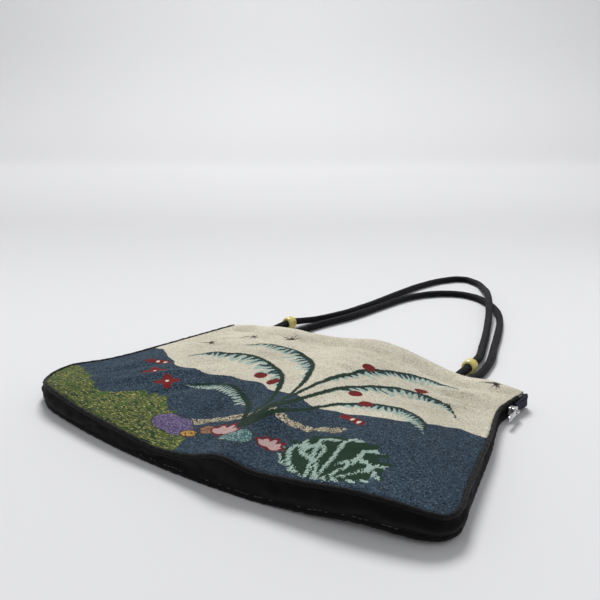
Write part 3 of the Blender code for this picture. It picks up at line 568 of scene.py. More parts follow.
@dataclass(frozen=True)
class StitchGrid:
    """The grid of small woven stitches that a cloth is made of."""

    width: float = 0.00095
    rise: float = 0.00085
    offset: float = 0.5

    def build(self, g: Graph, place: Socket) -> tuple[Socket, Socket, Socket]:
        """Make the grid's nodes.

        Args:
            g: the material's graph.
            place: the place on the cloth in metres.

        Returns:
            The cell as a vector, the stitches' height of 0 to 1, and the height of
            the ribs between them.
        """
        x, y, _ = g.parts(place)
        row = g.math("DIVIDE", y, self.rise)
        line = g.math("FLOOR", row)
        shift = g.math("MULTIPLY", g.math("MODULO", line, 2.0), self.offset)
        stitch = g.math("ADD", g.math("DIVIDE", x, self.width), shift)
        column = g.math("FLOOR", stitch)
        off_x = g.math("ABSOLUTE", g.math("SUBTRACT", g.math("FRACT", stitch), 0.5))
        off_y = g.math("ABSOLUTE", g.math("SUBTRACT", g.math("FRACT", row), 0.5))
        far = g.math("ADD", g.math("POWER", g.math("MULTIPLY", off_x, 2.0), 2.6),
                     g.math("POWER", g.math("MULTIPLY", off_y, 2.0), 2.2))
        round_top = g.math("SUBTRACT", 1.0, far, clamp=True)
        return g.joined(column, line, 0.37), round_top, off_y


@dataclass(frozen=True)
class Threads:
    """Colours of the woven design's threads, by screen values."""

    cream: tuple[int, int, int] = (246, 240, 219)
    cream_dark: tuple[int, int, int] = (196, 182, 152)
    blue: tuple[int, int, int] = (52, 74, 91)
    blue_light: tuple[int, int, int] = (88, 108, 124)
    blue_dark: tuple[int, int, int] = (26, 34, 48)
    leaf: tuple[int, int, int] = (26, 60, 38)
    aqua: tuple[int, int, int] = (182, 208, 196)
    teal: tuple[int, int, int] = (74, 122, 126)
    red: tuple[int, int, int] = (134, 24, 26)
    olive: tuple[int, int, int] = (98, 112, 54)
    grass: tuple[int, int, int] = (48, 76, 44)
    straw: tuple[int, int, int] = (206, 196, 118)
    bark: tuple[int, int, int] = (170, 158, 128)
    bark_dark: tuple[int, int, int] = (78, 66, 50)
    pink: tuple[int, int, int] = (222, 188, 184)
    purple: tuple[int, int, int] = (96, 84, 124)
    coral: tuple[int, int, int] = (172, 126, 100)
    ochre: tuple[int, int, int] = (218, 168, 84)
    ink: tuple[int, int, int] = (62, 58, 48)


class Plate(Enum):
    """The fields of the woven design, three to a name on the mesh."""

    GROUND = "design_ground"    # shore, grass, branch
    LEAVES = "design_leaves"    # spine, fringe, depth in the fringe
    BERRIES = "design_berries"  # berries, pink petals, red petals
    STONES = "design_stones"    # purple, coral, teal
    SMALL = "design_small"      # ochre, clump, ink strokes
    CREAMS = "design_creams"    # cream marks, clump's rays, distance to the hem


@dataclass(frozen=True)
class TapestryFinish:
    """The woven panel: blocks of cream and slate blue with plants, stones and berries."""

    threads: Threads = Threads()
    grid: StitchGrid = StitchGrid()

    def make(self) -> bpy.types.Material:
        """Build the material from the fields that the panel's mesh keeps."""
        g = Graph("tapestry_weave")
        t = self.threads
        place = g.cloth_place()
        cell, stitch, across_rib = self.grid.build(g, place)
        one, two = g.dice(cell), g.dice(g.vector("ADD", cell, (31.0, 17.0, 5.0)))
        three = g.dice(g.vector("ADD", cell, (7.0, 61.0, 9.0)))
        edge = g.math("MULTIPLY", g.math("SUBTRACT", one, 0.5), 1.5)
        slow = g.noise(place, 45.0, 3.0)
        patch = g.noise(place, 260.0, 2.0)
        shore, grass, branch = g.field(Plate.GROUND.value)
        spine, fringe, depth = g.field(Plate.LEAVES.value)
        berries, petals, reds = g.field(Plate.BERRIES.value)
        purple, coral, teal = g.field(Plate.STONES.value)
        ochre, clump, ink = g.field(Plate.SMALL.value)
        creams, rays, _ = g.field(Plate.CREAMS.value)

        def inside(field_value: Socket, ragged: float = 1.0) -> Socket:
            jitter = g.math("MULTIPLY", edge, ragged)
            return g.math("GREATER_THAN", g.math("ADD", field_value, jitter), 0.0)

        def some(chance: float, roll: Socket = two) -> Socket:
            return g.math("LESS_THAN", roll, chance)

        blue = g.mix(some(0.13), shade(*t.blue), shade(*t.blue_light))
        blue = g.mix(some(0.20, three), blue, shade(*t.blue_dark))
        cream = g.mix(g.math("MULTIPLY", some(0.14, three), 0.45), shade(*t.cream),
                      shade(*t.cream_dark))
        cream = g.mix(g.ramp(slow, 0.35, 0.75, 0.0, 0.28), cream, shade(*t.cream_dark))
        color = g.mix(inside(shore, 0.35), blue, cream)

        bark = g.mix(g.math("LESS_THAN", g.math("ADD", patch, g.math("MULTIPLY", edge, 0.12)), 0.47),
                     shade(*t.bark), shade(*t.bark_dark))
        bark = g.mix(some(0.25, three), bark, shade(*t.cream))
        color = g.mix(inside(branch, 0.7), color, bark)
        flat = g.vector("MULTIPLY", place, (1.0, 3.2, 1.0))
        blade = g.noise(flat, 95.0, 3.0)
        rows = g.noise(g.vector("ADD", flat, (0.3, 0.7, 0.0)), 300.0, 1.0)
        tuft = g.mix(g.math("GREATER_THAN", g.math("ADD", blade, g.math("MULTIPLY", edge, 0.05)),
                            0.47), shade(*t.grass), shade(*t.olive))
        tuft = g.mix(g.math("MULTIPLY", g.math("GREATER_THAN", rows, 0.60), some(0.75)), tuft,
                     shade(*t.straw))
        tuft = g.mix(g.math("LESS_THAN", rows, 0.36), tuft, shade(30, 46, 34))
        tuft = g.mix(g.math("GREATER_THAN", g.noise(place, 55.0, 1.0), 0.60), tuft,
                     g.mix(some(0.3), shade(92, 118, 52), shade(*t.grass)))
        color = g.mix(inside(grass), color, tuft)
        for mask, tone, chance, other in (
                (purple, t.purple, 0.34, (152, 138, 176)), (coral, t.coral, 0.22, t.bark_dark),
                (teal, t.teal, 0.30, t.aqua), (ochre, t.ochre, 0.25, t.bark_dark)):
            stone = g.mix(some(chance, three), shade(*tone), shade(*other))
            stone = g.mix(g.math("LESS_THAN", mask, 0.7), stone, shade(*t.ink))
            color = g.mix(inside(mask, 0.6), color, stone)
        feather = g.mix(g.math("GREATER_THAN", g.math("ADD", rays, edge), 0.0),
                        shade(*t.leaf), shade(*t.aqua))
        color = g.mix(inside(clump, 1.6), color, feather)
        rim = g.mix(g.math("LESS_THAN", petals, 1.1), shade(*t.pink), shade(*t.red))
        color = g.mix(inside(petals, 0.5), color, rim)
        shadow = g.mix(some(0.35), shade(*t.blue_dark), shade(*t.teal))
        light = g.mix(g.math("MULTIPLY", some(0.3, three), 0.6), shade(*t.aqua), shade(*t.cream))
        strands = g.mix(g.math("GREATER_THAN", g.math("ADD", depth, edge), 0.0), shadow, light)
        color = g.mix(inside(fringe, 1.5), color, strands)
        blade = g.mix(some(0.18), shade(*t.leaf), shade(*t.blue_dark))
        color = g.mix(inside(spine, 0.8), color, blade)
        berry = g.mix(some(0.22, three), shade(*t.red), shade(112, 30, 30))
        color = g.mix(inside(berries, 0.45), color, berry)
        color = g.mix(inside(reds, 0.5), color, shade(*t.red))
        color = g.mix(inside(creams, 0.4), color, shade(*t.cream))
        color = g.mix(inside(ink, 0.4), color, shade(*t.ink))

        thread = g.math("ADD", 0.86, g.math("MULTIPLY", three, 0.24))
        # Painted shade: each stitch's colour darkens towards its edges, in the hollows between the
        # stitches.
        stitch_hollow_shade = g.ramp(stitch, 0.0, 0.7, 0.62, 1.0)
        color = g.tint(color, g.math("MULTIPLY", thread, stitch_hollow_shade))
        # Broad lighter and darker patches over the panel: partly wear, and partly painted sheen and
        # painted fold shade.
        wear_and_painted_sheen = g.ramp(g.noise(place, 11.0, 4.0), 0.3, 0.7, 0.88, 1.10)
        color = g.tint(color, wear_and_painted_sheen)
        height = g.math("ADD", stitch, g.math("MULTIPLY", three, 0.25))
        weave = g.bump(height, 0.00030, 0.75)
        slack = g.bump(g.noise(place, 120.0, 3.0), 0.0007, 0.35, weave)
        return g.finish(Base_Color=color, Roughness=g.ramp(stitch, 0.0, 1.0, 0.95, 0.82),
                        Sheen_Weight=0.06, Sheen_Roughness=0.5, Specular_IOR_Level=0.15,
                        Normal=slack)


@dataclass(frozen=True)
class WeaveFinish:
    """A plain woven cloth of one colour with ribs, with lighter flecks that are partly wear and partly
    painted highlight, and painted shade between its stitches.
    """

    name: str
    color: tuple[int, int, int]
    light: tuple[int, int, int]
    rib: float = 0.0009
    row: float = 0.0006
    depth: float = 0.00018
    fleck_share: float = 0.10
    sheen: float = 0.3
    roughness: float = 0.88

    def make(self) -> bpy.types.Material:
        """Build the cloth's material."""
        g = Graph(self.name)
        place = g.cloth_place()
        cell, stitch, _ = StitchGrid(self.rib, self.row).build(g, place)
        roll = g.dice(cell)
        slow = g.noise(place, 60.0, 4.0)
        # Lighter flecks: partly worn threads, partly painted highlight.
        wear_and_highlight_flecks = g.math("GREATER_THAN", g.math("ADD", roll, g.math("MULTIPLY", slow, 0.35)),
                       1.28 - self.fleck_share)
        color = g.mix(wear_and_highlight_flecks, shade(*self.color), shade(*self.light))
        # Painted shade: darker towards each stitch's edges, between the stitches; the slow noise adds
        # patchy tone.
        tone = g.math("MULTIPLY", g.ramp(stitch, 0.0, 0.8, 0.6, 1.1), g.ramp(slow, 0.3, 0.7, 0.8, 1.25))
        color = g.tint(color, tone)
        weave = g.bump(g.math("ADD", stitch, g.math("MULTIPLY", roll, 0.3)), self.depth, 0.8)
        slack = g.bump(g.noise(place, 150.0, 2.0), 0.0005, 0.4, weave)
        return g.finish(Base_Color=color, Roughness=self.roughness, Sheen_Weight=self.sheen,
                        Sheen_Roughness=0.45, Specular_IOR_Level=0.14, Normal=slack)


@dataclass(frozen=True)
class BeadFinish:
    """Glossy yellow beads with a faint cloudiness and small scuffs."""

    color: tuple[int, int, int] = (222, 196, 92)
    pale: tuple[int, int, int] = (240, 228, 150)

    def make(self) -> bpy.types.Material:
        """Build the beads' material."""
        g = Graph("bead_glaze")
        place = g.solid_place()
        cloud = g.noise(place, 160.0, 3.0)
        grain = g.noise(g.vector("MULTIPLY", place, (1.0, 1.0, 4.0)), 420.0, 3.0)
        color = g.mix(g.ramp(cloud, 0.35, 0.7), shade(*self.color), shade(*self.pale))
        color = g.mix(g.ramp(grain, 0.62, 0.8, 0.0, 0.35), color, shade(150, 118, 48))
        scuff = g.ramp(g.noise(place, 900.0, 2.0), 0.55, 0.75, 0.22, 0.5)
        return g.finish(Base_Color=color, Roughness=scuff, Coat_Weight=0.35,
                        Coat_Roughness=0.12, Normal=g.bump(grain, 0.0001, 0.3))


@dataclass(frozen=True)
class MetalFinish:
    """The zip's bright plated metal with fine scratches."""

    color: tuple[int, int, int] = (226, 226, 228)

    def make(self) -> bpy.types.Material:
        """Build the plated metal's material."""
        g = Graph("zip_plating")
        place = g.solid_place()
        scratch = g.noise(g.vector("MULTIPLY", place, (1.0, 9.0, 1.0)), 500.0, 4.0)
        dull = g.ramp(g.noise(place, 220.0, 3.0), 0.4, 0.75)
        color = g.mix(dull, shade(*self.color), shade(176, 174, 170))
        return g.finish(Base_Color=color, Metallic=1.0,
                        Roughness=g.ramp(scratch, 0.3, 0.8, 0.16, 0.38),
                        Normal=g.bump(scratch, 0.00005, 0.25))


@dataclass(frozen=True)
class FloorFinish:
    """The pale ground, with painted light: darker further back on the floor and lighter again up the
    sweep.
    """

    color: tuple[int, int, int] = (240, 240, 241)

    def make(self) -> bpy.types.Material:
        """Build the ground's material."""
        g = Graph("pale_ground")
        soft = g.noise(g.solid_place(), 0.8, 2.0)
        color = g.mix(g.ramp(soft, 0.3, 0.7), shade(*self.color), shade(237, 237, 238))
        x, y, _ = g.parts(g.solid_place())
        behind = g.math("ADD", g.math("MULTIPLY", x, -0.5736), g.math("MULTIPLY", y, 0.8191))
        # Painted light: the floor darkens with distance behind the bag, and the sweep behind is painted
        # lighter again.
        painted_falloff, far = g.ramp(behind, -0.1, 0.95, 1.0, 0.60), g.ramp(behind, 2.0, 2.75, 0.0, 0.36)
        color = g.tint(color, g.math("ADD", painted_falloff, far))
        return g.finish(Base_Color=color, Roughness=0.85, Specular_IOR_Level=0.2)


def grid_piece(name: str, points: Array, uv: Array, closed: bool = False) -> bpy.types.Object:
    """A mesh from a grid of points in the bag's own frame.

    Args:
        name: the piece's name.
        points: rows by columns by 3.
        uv: rows by columns by 2, the place on the flat cloth in metres.
        closed: join the last row to the first, as round a tube, and fill both ends.

    Returns:
        The object, in the row's frame.
    """
    rows, columns = points.shape[:2]
    ids = np.arange(rows * columns).reshape(rows, columns)
    if closed:
        ids = np.vstack([ids, ids[:1]])
    quads = np.stack([ids[:-1, :-1], ids[:-1, 1:], ids[1:, 1:], ids[1:, :-1]], -1).reshape(-1, 4)
    faces = [tuple(int(k) for k in quad) for quad in quads]
    if closed:
        faces += [tuple(int(k) for k in ids[:-1, 0]), tuple(int(k) for k in ids[-2::-1, -1])]
    mesh = bpy.data.meshes.new(name)
    mesh.from_pydata((points.reshape(-1, 3) + SHIFT).tolist(), [], faces)
    layer = mesh.uv_layers.new(name="cloth")
    loops = np.zeros(len(mesh.loops), int)
    mesh.loops.foreach_get("vertex_index", loops)
    layer.data.foreach_set("uv", uv.reshape(-1, 2)[loops].astype(np.float32).ravel())
    mesh.shade_smooth()
    thing = bpy.data.objects.new(name, mesh)
    bpy.context.scene.collection.objects.link(thing)
    return thing


def runs_of(points: Array) -> Array:
    """The length along a row of points, from its start."""
    return np.concatenate([[0.0], np.cumsum(np.linalg.norm(np.diff(points, axis=0), axis=1))])


def frames_along(line: Array) -> tuple[Array, Array, Array]:
    """The directions ahead, aside and up along a line, without twist."""
    ahead = np.gradient(line, axis=0)
    ahead /= np.linalg.norm(ahead, axis=1, keepdims=True)
    aside, above = np.zeros_like(ahead), np.zeros_like(ahead)
    up = np.array([0.0, 0.0, 1.0])
    for k, way in enumerate(ahead):
        across = np.cross(way, up)
        aside[k] = across / np.linalg.norm(across)
        above[k] = np.cross(aside[k], way)
        up = above[k]
    return ahead, aside, above


def tube_piece(name: str, line: Array, radius: Array) -> bpy.types.Object:
    """A tube along a line whose radius differs from place to place.

    Args:
        name: the piece's name.
        line: the points of its middle.
        radius: points by sides, the distance from the middle.

    Returns:
        The tube, with each end closed by a flat face.
    """
    _, aside, above = frames_along(line)
    sides = radius.shape[1]
    turn = np.arange(sides) * 2 * math.pi / sides
    ways = (aside[:, None] * np.cos(turn)[None, :, None] + above[:, None] * np.sin(turn)[None, :, None])
    points = line[:, None] + ways * radius[..., None]
    runs = runs_of(line)
    round_it = turn * float(radius.mean())
    uv = np.stack(np.broadcast_arrays(round_it[None, :], runs[:, None]), -1)
    return grid_piece(name, points.transpose(1, 0, 2), uv.transpose(1, 0, 2), closed=True)


def dress(thing: bpy.types.Object, finish: bpy.types.Material, body: str = BAG,
          nodes: Sequence[str] = ()) -> bpy.types.Object:
    """Give a piece its material and tie it to its body.

    Args:
        thing: the piece.
        finish: its material.
        body: the body that it rides on.
        nodes: the solids that it stands for.

    Returns:
        The piece.
    """
    thing.data.materials.clear()
    thing.data.materials.append(finish)
    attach(thing, body)
    if nodes:
        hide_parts(*nodes)
    count = sum(len(face.vertices) - 2 for face in thing.data.polygons)
    LOG.info("%s: %d triangles before its modifiers", thing.name, count)
    return thing


def add_solid(thing: bpy.types.Object, thickness: float, offset: float = 0.0) -> None:
    """Give an open sheet its cloth thickness."""
    solid = thing.modifiers.new("cloth", "SOLIDIFY")
    solid.thickness, solid.offset = thickness, offset
    solid.use_even_offset = False


@dataclass
class Finishes:
    """The materials that the pieces share."""

    tapestry: bpy.types.Material
    gusset: bpy.types.Material
    back: bpy.types.Material
    piping: bpy.types.Material
    tape: bpy.types.Material
    cord: bpy.types.Material
    thread: bpy.types.Material
    bead: bpy.types.Material
    metal: bpy.types.Material

    @classmethod
    def make(cls) -> Finishes:
        """Build every material once."""
        return cls(
            tapestry=TapestryFinish().make(),
            gusset=WeaveFinish("gusset_twill", (7, 7, 8), (40, 39, 39), 0.0011, 0.0007,
                               0.00022, 0.01, 0.06).make(),
            back=WeaveFinish("back_cloth", (16, 16, 18), (44, 44, 46), fleck_share=0.02, sheen=0.08).make(),
            # The piping's lighter flecks are painted highlights.
            piping=WeaveFinish("piping_cloth", (10, 8, 9), (44, 36, 35), 0.0006, 0.0005,
                               0.00014, 0.04, 0.04, 0.55).make(),
            tape=WeaveFinish("zip_tape", (26, 30, 52), (64, 68, 92), 0.0009, 0.0005,
                             0.00014, 0.03, 0.15).make(),
            cord=WeaveFinish("cord_cloth", (11, 11, 17), (40, 40, 52), 0.0008, 0.0006,
                             0.00020, 0.03, 0.05, 0.7).make(),
            thread=WeaveFinish("sewing_thread", (112, 108, 102), (160, 156, 148), 0.0004,
                               0.0004, 0.00008, 0.2).make(),
            bead=BeadFinish().make(),
            metal=MetalFinish().make(),
        )


@dataclass
class Handle:
    """A rolled cloth cord that comes out of the mouth and lies on the surface."""

    layer: Layer
    route: Sequence[tuple[float, float, float]]
    shape: BagShape
    diameter: float = 0.0075
    route_points: int = 56
    stations: int = 620
    sides: int = 22

    def centreline(self) -> Array:
        """The cord's own points, spread evenly as in its solid."""
        own = np.array(self.route) * np.array([self.shape.top_width, self.shape.height, self.diameter])
        runs = runs_of(own)
        fine = spline(runs, own, np.linspace(0.0, runs[-1], 40 * len(own)))
        fine_runs = runs_of(fine)
        want = np.linspace(0.0, fine_runs[-1], self.route_points)
        points = np.stack([np.interp(want, fine_runs, fine[:, k]) for k in range(3)], -1)
        points[:, 2] = np.maximum(points[:, 2], self.diameter / 2)
        return points

    def build(self, finishes: Finishes) -> bpy.types.Object:
        """Make the cord: a slightly uneven roll with a folded edge along it."""
        own = self.centreline()
        line = spline(runs_of(own), own, np.linspace(0.0, runs_of(own)[-1], self.stations))
        runs = runs_of(line)[:, None]
        turn = (np.arange(self.sides) * 2 * math.pi / self.sides)[None, :]
        seed = 3 if self.layer is Layer.FRONT else 11
        where = np.stack(np.broadcast_arrays(runs * 1.0, np.cos(turn) * 0.004,
                                             np.sin(turn) * 0.004), -1)
        lumps = 0.030 * ripples(where, 0.030, seed) + 0.018 * ripples(where, 0.009, seed + 1)
        seam_turn = math.pi * 0.32 + 0.55 * np.sin(runs * 9.0 + seed)
        off = np.angle(np.exp(1j * (turn - seam_turn)))
        seam = -0.10 * np.exp(-(off / 0.16) ** 2) + 0.06 * np.exp(-((off - 0.42) / 0.30) ** 2)
        oval = 0.035 * np.cos(2 * turn)
        radius = self.diameter / 2 * (0.985 + lumps + seam + oval)
        cord = tube_piece(f"handle_cord_{self.layer.value}", line, radius)
        dress(cord, finishes.cord, BAG, [f"handle_{self.layer.value}"])
        return cord

    def declare(self, cord: bpy.types.Object) -> None:
        """Read the cord's own points; nothing is done with them."""
        own = self.centreline()


@dataclass
class Bead:
    """A drilled bead on a handle."""

    name: str
    place: tuple[float, float, float]
    handle: Handle
    diameter: float = 0.0137
    length: float = 0.0110
    clearance: float = 0.0006
    sides: int = 56

    def build(self, finishes: Finishes) -> bpy.types.Object:
        """Make the bead round its cord, with a soft edge and a countersunk bore."""
        own = self.handle.centreline()
        scale = np.array([self.handle.shape.top_width, self.handle.shape.height,
                          self.handle.diameter])
        middles = (own[1:] + own[:-1]) / 2
        run = int(np.argmin(np.linalg.norm(middles - np.array(self.place) * scale, axis=1)))
        ahead = own[run + 1] - own[run]
        ahead /= np.linalg.norm(ahead)
        aside = np.cross(ahead, (0.0, 0.0, 1.0))
        aside /= np.linalg.norm(aside)
        above = np.cross(aside, ahead)
        outer, half = self.diameter / 2, self.length / 2
        bore = self.handle.diameter / 2 + 0.0001
        profile = []
        for share in np.linspace(-1.0, 1.0, 25):
            swell = (1 - abs(share) ** 3.2) ** 0.5
            profile.append((bore + 0.0009 + (outer - bore - 0.0009) * swell, half * share))
        profile.append((bore + 0.0003, half * 0.97))
        profile.append((bore, half * 0.86))
        profile += [(bore, 0.0), (bore, -half * 0.86), (bore + 0.0003, -half * 0.97)]
        turn = np.append(np.arange(self.sides), 0) * 2 * math.pi / self.sides
        ways = np.cos(turn)[:, None] * aside + np.sin(turn)[:, None] * above
        points = np.stack([middles[run] + ahead * z + ways * r for r, z in profile])
        uv = np.stack(np.broadcast_arrays(turn[None, :] * outer,
                                          np.array(profile)[:, 1:2]), -1)
        thing = grid_piece(self.name, points, uv, closed=False)
        self.close_ring(thing, len(profile), len(turn))
        return dress(thing, finishes.bead, BAG, [self.name.replace("glazed_", "")])

    @staticmethod
    def close_ring(thing: bpy.types.Object, rows: int, columns: int) -> None:
        """Join the profile's last row to its first, and weld the seam."""
        mesh = thing.data
        spots = np.zeros(len(mesh.vertices) * 3)
        mesh.vertices.foreach_get("co", spots)
        spots = spots.reshape(rows, columns, 3)
        name = mesh.name
        ring = np.vstack([spots, spots[:1]])
        ids = np.arange((rows) * (columns - 1)).reshape(rows, columns - 1)
        ids = np.vstack([ids, ids[:1]])
        ids = np.hstack([ids, ids[:, :1]])
        quads = np.stack([ids[:-1, :-1], ids[:-1, 1:], ids[1:, 1:], ids[1:, :-1]], -1)
        fresh = bpy.data.meshes.new(name)
        fresh.from_pydata(ring[:-1, :-1].reshape(-1, 3).tolist(), [],
                          [tuple(int(k) for k in quad) for quad in quads.reshape(-1, 4)])
        fresh.uv_layers.new(name="cloth")
        fresh.shade_smooth()
        thing.data = fresh


@dataclass(frozen=True)
class Leaf:
    """A fern leaf of the design: a dark spine with a pale fringe on one side."""

    line: Pairs
    fringe: float = 15.0
    start: float = 2.4
    tip: float = 0.6
    hand: int = 1


@dataclass(frozen=True)
class Design:
    """The woven picture, in millimetres from the middle of the base."""

    shore: Pairs = (
        (-205, 124), (-175, 118), (-150, 112), (-120, 92), (-90, 80), (-60, 84), (-25, 92),
        (10, 82), (45, 72), (80, 76), (112, 90), (140, 108), (170, 116), (205, 120))
    leaves: Sequence[Leaf] = (
        Leaf(((20, 20), (8, 70), (-14, 112), (-52, 132), (-88, 124), (-108, 104)), 16, hand=1),
        Leaf(((22, 20), (20, 80), (4, 130), (-24, 158), (-58, 166), (-84, 154)), 14, hand=1),
        Leaf(((24, 20), (34, 80), (52, 128), (84, 152), (114, 148), (132, 126)), 16, hand=-1),
        Leaf(((26, 20), (44, 66), (70, 98), (98, 108), (120, 98), (128, 82)), 15, hand=-1),
        Leaf(((22, 20), (26, 90), (36, 142), (58, 176), (86, 188), (112, 182)), 14, hand=-1),
        Leaf(((18, 20), (0, 52), (-26, 72), (-52, 74), (-68, 60)), 13, hand=1))
    berries: Pairs = ((-30, 105), (-12, 98), (56, 112), (72, 100), (88, 160), (40, 160))
    branch: Pairs = ((-36, 6), (-10, 28), (22, 40), (56, 40), (84, 52))
    bank: Pairs = ((-195, 30), (-185, 40), (-160, 34), (-134, 18), (-112, 14), (-92, 30), (-74, 36),
                   (-54, 24), (-36, 12), (-15, 2), (0, -30))
    fronds: Sequence[Pairs] = (
        ((92, -14), (74, 0), (66, 16), (74, 20)), ((96, -14), (84, 14), (80, 30), (90, 34)),
        ((102, -14), (98, 16), (96, 34), (106, 42)), ((100, -12), (92, 4), (76, 12), (70, 26)),
        ((104, -14), (112, 12), (112, 30), (122, 36)), ((106, -14), (120, 4), (124, 18), (132, 22)),
        ((108, -14), (124, -4), (134, 4), (128, 12)), ((90, -12), (76, -8), (64, 2), (60, 12)),
        ((104, 6), (110, 16), (118, 20), (124, 14)), ((90, 8), (88, 20), (80, 24), (76, 16)))
    blossoms: Pairs = ((-108, 62), (-84, 52))
    fish: Sequence[tuple[float, float, float]] = ((-122, 84, 24), (84, 66, -18))
    lotus: Sequence[tuple[float, float, float]] = ((10, 8, 1.0), (52, 4, 0.85))
    insects: Sequence[tuple[float, float, float]] = (
        (-128, 150, 26), (-70, 198, -14), (128, 206, 20), (-100, 178, 44))

    @staticmethod
    def from_line(x: Array, y: Array, line: Pairs) -> tuple[Array, Array, Array]:
        """Distance from a smooth line, the share along it, and the side of it.

        Args:
            x: across, in mm.
            y: up, in mm.
            line: the line's points.

        Returns:
            For each place the distance, the nearest share of the line and a signed
            distance that is positive on the line's left.
        """
        table = np.array(line, float)
        steps = np.arange(len(table))
        fine = spline(steps, table, np.linspace(0, len(table) - 1, 26 * (len(table) - 1) + 1))
        nearest = np.full(x.shape, 1e9)
        share, aside = np.zeros(x.shape), np.zeros(x.shape)
        for k in range(len(fine) - 1):
            start, way = fine[k], fine[k + 1] - fine[k]
            size = float(way @ way)
            along = np.clip(((x - start[0]) * way[0] + (y - start[1]) * way[1]) / size, 0, 1)
            off_x, off_y = x - start[0] - along * way[0], y - start[1] - along * way[1]
            far = np.hypot(off_x, off_y)
            closer = far < nearest
            nearest = np.where(closer, far, nearest)
            share = np.where(closer, (k + along) / (len(fine) - 1), share)
            aside = np.where(closer, (way[0] * off_y - way[1] * off_x) / math.sqrt(size), aside)
        return nearest, share, aside

    @staticmethod
    def ellipse(x: Array, y: Array, middle: Sequence[float], size: Sequence[float],
                turn: float = 0.0) -> Array:
        """A value that is positive inside an ellipse, in about mm."""
        way = math.radians(turn)
        along = (x - middle[0]) * math.cos(way) + (y - middle[1]) * math.sin(way)
        aside = (y - middle[1]) * math.cos(way) - (x - middle[0]) * math.sin(way)
        return (1 - np.hypot(along / size[0], aside / size[1])) * min(size)

    def ground(self, x: Array, y: Array) -> Array:
        """Shore, grass bank and branch."""
        shore = y - Profile(self.shore).at(x) + 1.4 * ripples(np.stack([x, y], -1), 22.0, 2)
        bank = Profile(self.bank).at(np.clip(x, -195, 0)) - y
        bank += 3.0 * ripples(np.stack([x, y * 0.3], -1), 9.0, 6)
        bank = np.where((x > -190) & (x < 0), bank, -20.0)
        far, share, _ = self.from_line(x, y, self.branch)
        return np.stack([shore, bank, 5.2 - 2.4 * share - far
                         + 1.2 * ripples(np.stack([x, y], -1), 12.0, 9)], -1)

    def foliage(self, x: Array, y: Array) -> Array:
        """Leaf spines, fringes and the depth in the fringes."""
        spine, fringe, depth = (np.full(x.shape, -30.0) for _ in range(3))
        for number, leaf in enumerate(self.leaves):
            far, share, aside = self.from_line(x, y, leaf.line)
            half = leaf.start + (leaf.tip - leaf.start) * share
            spine = np.maximum(spine, half - far)
            side = aside * leaf.hand
            grown = np.clip((share - 0.24) / 0.22, 0, 1) * np.clip((1.02 - share) / 0.26, 0.10, 1)
            reach = leaf.fringe * grown * (1 + 0.22 * ripples(np.stack([x, y], -1), 18.0, 80 + number))
            phase = share * 2 * math.pi * (15 + 2 * number) - side * 0.16 + number
            phase += 0.8 * ripples(np.stack([x, y], -1), 14.0, 90 + number)
            barb = np.abs(np.sin(phase / 2))
            blades = reach * (0.42 + 0.58 * barb) - np.maximum(side, 0)
            here = np.where((side > -0.4) & (np.abs(np.abs(side) - far) < 2.5), blades, -30.0)
            here = np.where(reach > 0.5, here, -30.0)
            strand = 3.0 * np.sin(phase * 1.5) + 9.0 * side / np.maximum(reach, 1.0) - 3.2
            depth = np.where(here > fringe, strand, depth)
            fringe = np.maximum(fringe, here)
            spine = np.maximum(spine, np.where((side < 0) & (reach > 2), half * 1.5 - far, -30.0))
        return np.stack([spine, fringe, depth], -1)

    def fruit(self, x: Array, y: Array) -> Array:
        """Berries, pink petals and red petals with the fish."""
        berries = np.full(x.shape, -30.0)
        for spot in self.berries:
            berries = np.maximum(berries, self.ellipse(x, y, spot, (5.6, 5.2)))
        petals = np.full(x.shape, -30.0)
        for px, py, scale in self.lotus:
            for turn, size in ((90, 12), (60, 11), (120, 11), (30, 10), (150, 10)):
                way = math.radians(turn)
                middle = (px + scale * size * 0.75 * math.cos(way),
                          py + scale * size * 0.75 * math.sin(way))
                petals = np.maximum(petals, self.ellipse(
                    x, y, middle, (size * scale * 0.85, 3.6 * scale), turn))
        reds = np.full(x.shape, -30.0)
        for spot in self.blossoms:
            for turn in (45, 135, 225, 315):
                way = math.radians(turn)
                middle = (spot[0] + 5 * math.cos(way), spot[1] + 5 * math.sin(way))
                reds = np.maximum(reds, self.ellipse(x, y, middle, (5.2, 3.4), turn))
        for px, py, turn in self.fish:
            way = math.radians(turn)
            tail = (px - 11 * math.cos(way), py - 11 * math.sin(way))
            reds = np.maximum(reds, self.ellipse(x, y, (px, py), (9, 3.2), turn))
            reds = np.maximum(reds, self.ellipse(x, y, tail, (4.4, 2.2), turn + 38))
            reds = np.maximum(reds, self.ellipse(x, y, tail, (4.4, 2.2), turn - 38))
        return np.stack([berries, petals, reds], -1)

    def stones(self, x: Array, y: Array) -> Array:
        """The round stones along the base."""
        wobble = 0.9 * ripples(np.stack([x, y], -1), 16.0, 17)
        return np.stack([self.ellipse(x, y, (-32, 6), (20, 12)) + wobble,
                         self.ellipse(x, y, (-2, 12), (10, 6), 12) + wobble,
                         self.ellipse(x, y, (28, 4), (14, 9), -8) + wobble], -1)

    def small(self, x: Array, y: Array) -> Array:
        """The ochre pad, the feathery clump and the insects' strokes."""
        ochre = self.ellipse(x, y, (-14, 2), (8, 5))
        clump = self.ellipse(x, y, (98, 14), (36, 27)) + 2.6 * ripples(
            np.stack([x, y], -1), 10.0, 23)
        ink = np.full(x.shape, -30.0)
        for px, py, turn in self.insects:
            way = math.radians(turn)
            front = (px + 4 * math.cos(way), py + 4 * math.sin(way))
            ink = np.maximum(ink, self.ellipse(x, y, (px, py), (9.5, 0.95), turn) * 1.3)
            for lean in (58, 90, 122):
                ink = np.maximum(ink, self.ellipse(x, y, front, (7.5, 0.85), turn + lean) * 1.2)
        return np.stack([ochre, clump, ink], -1)

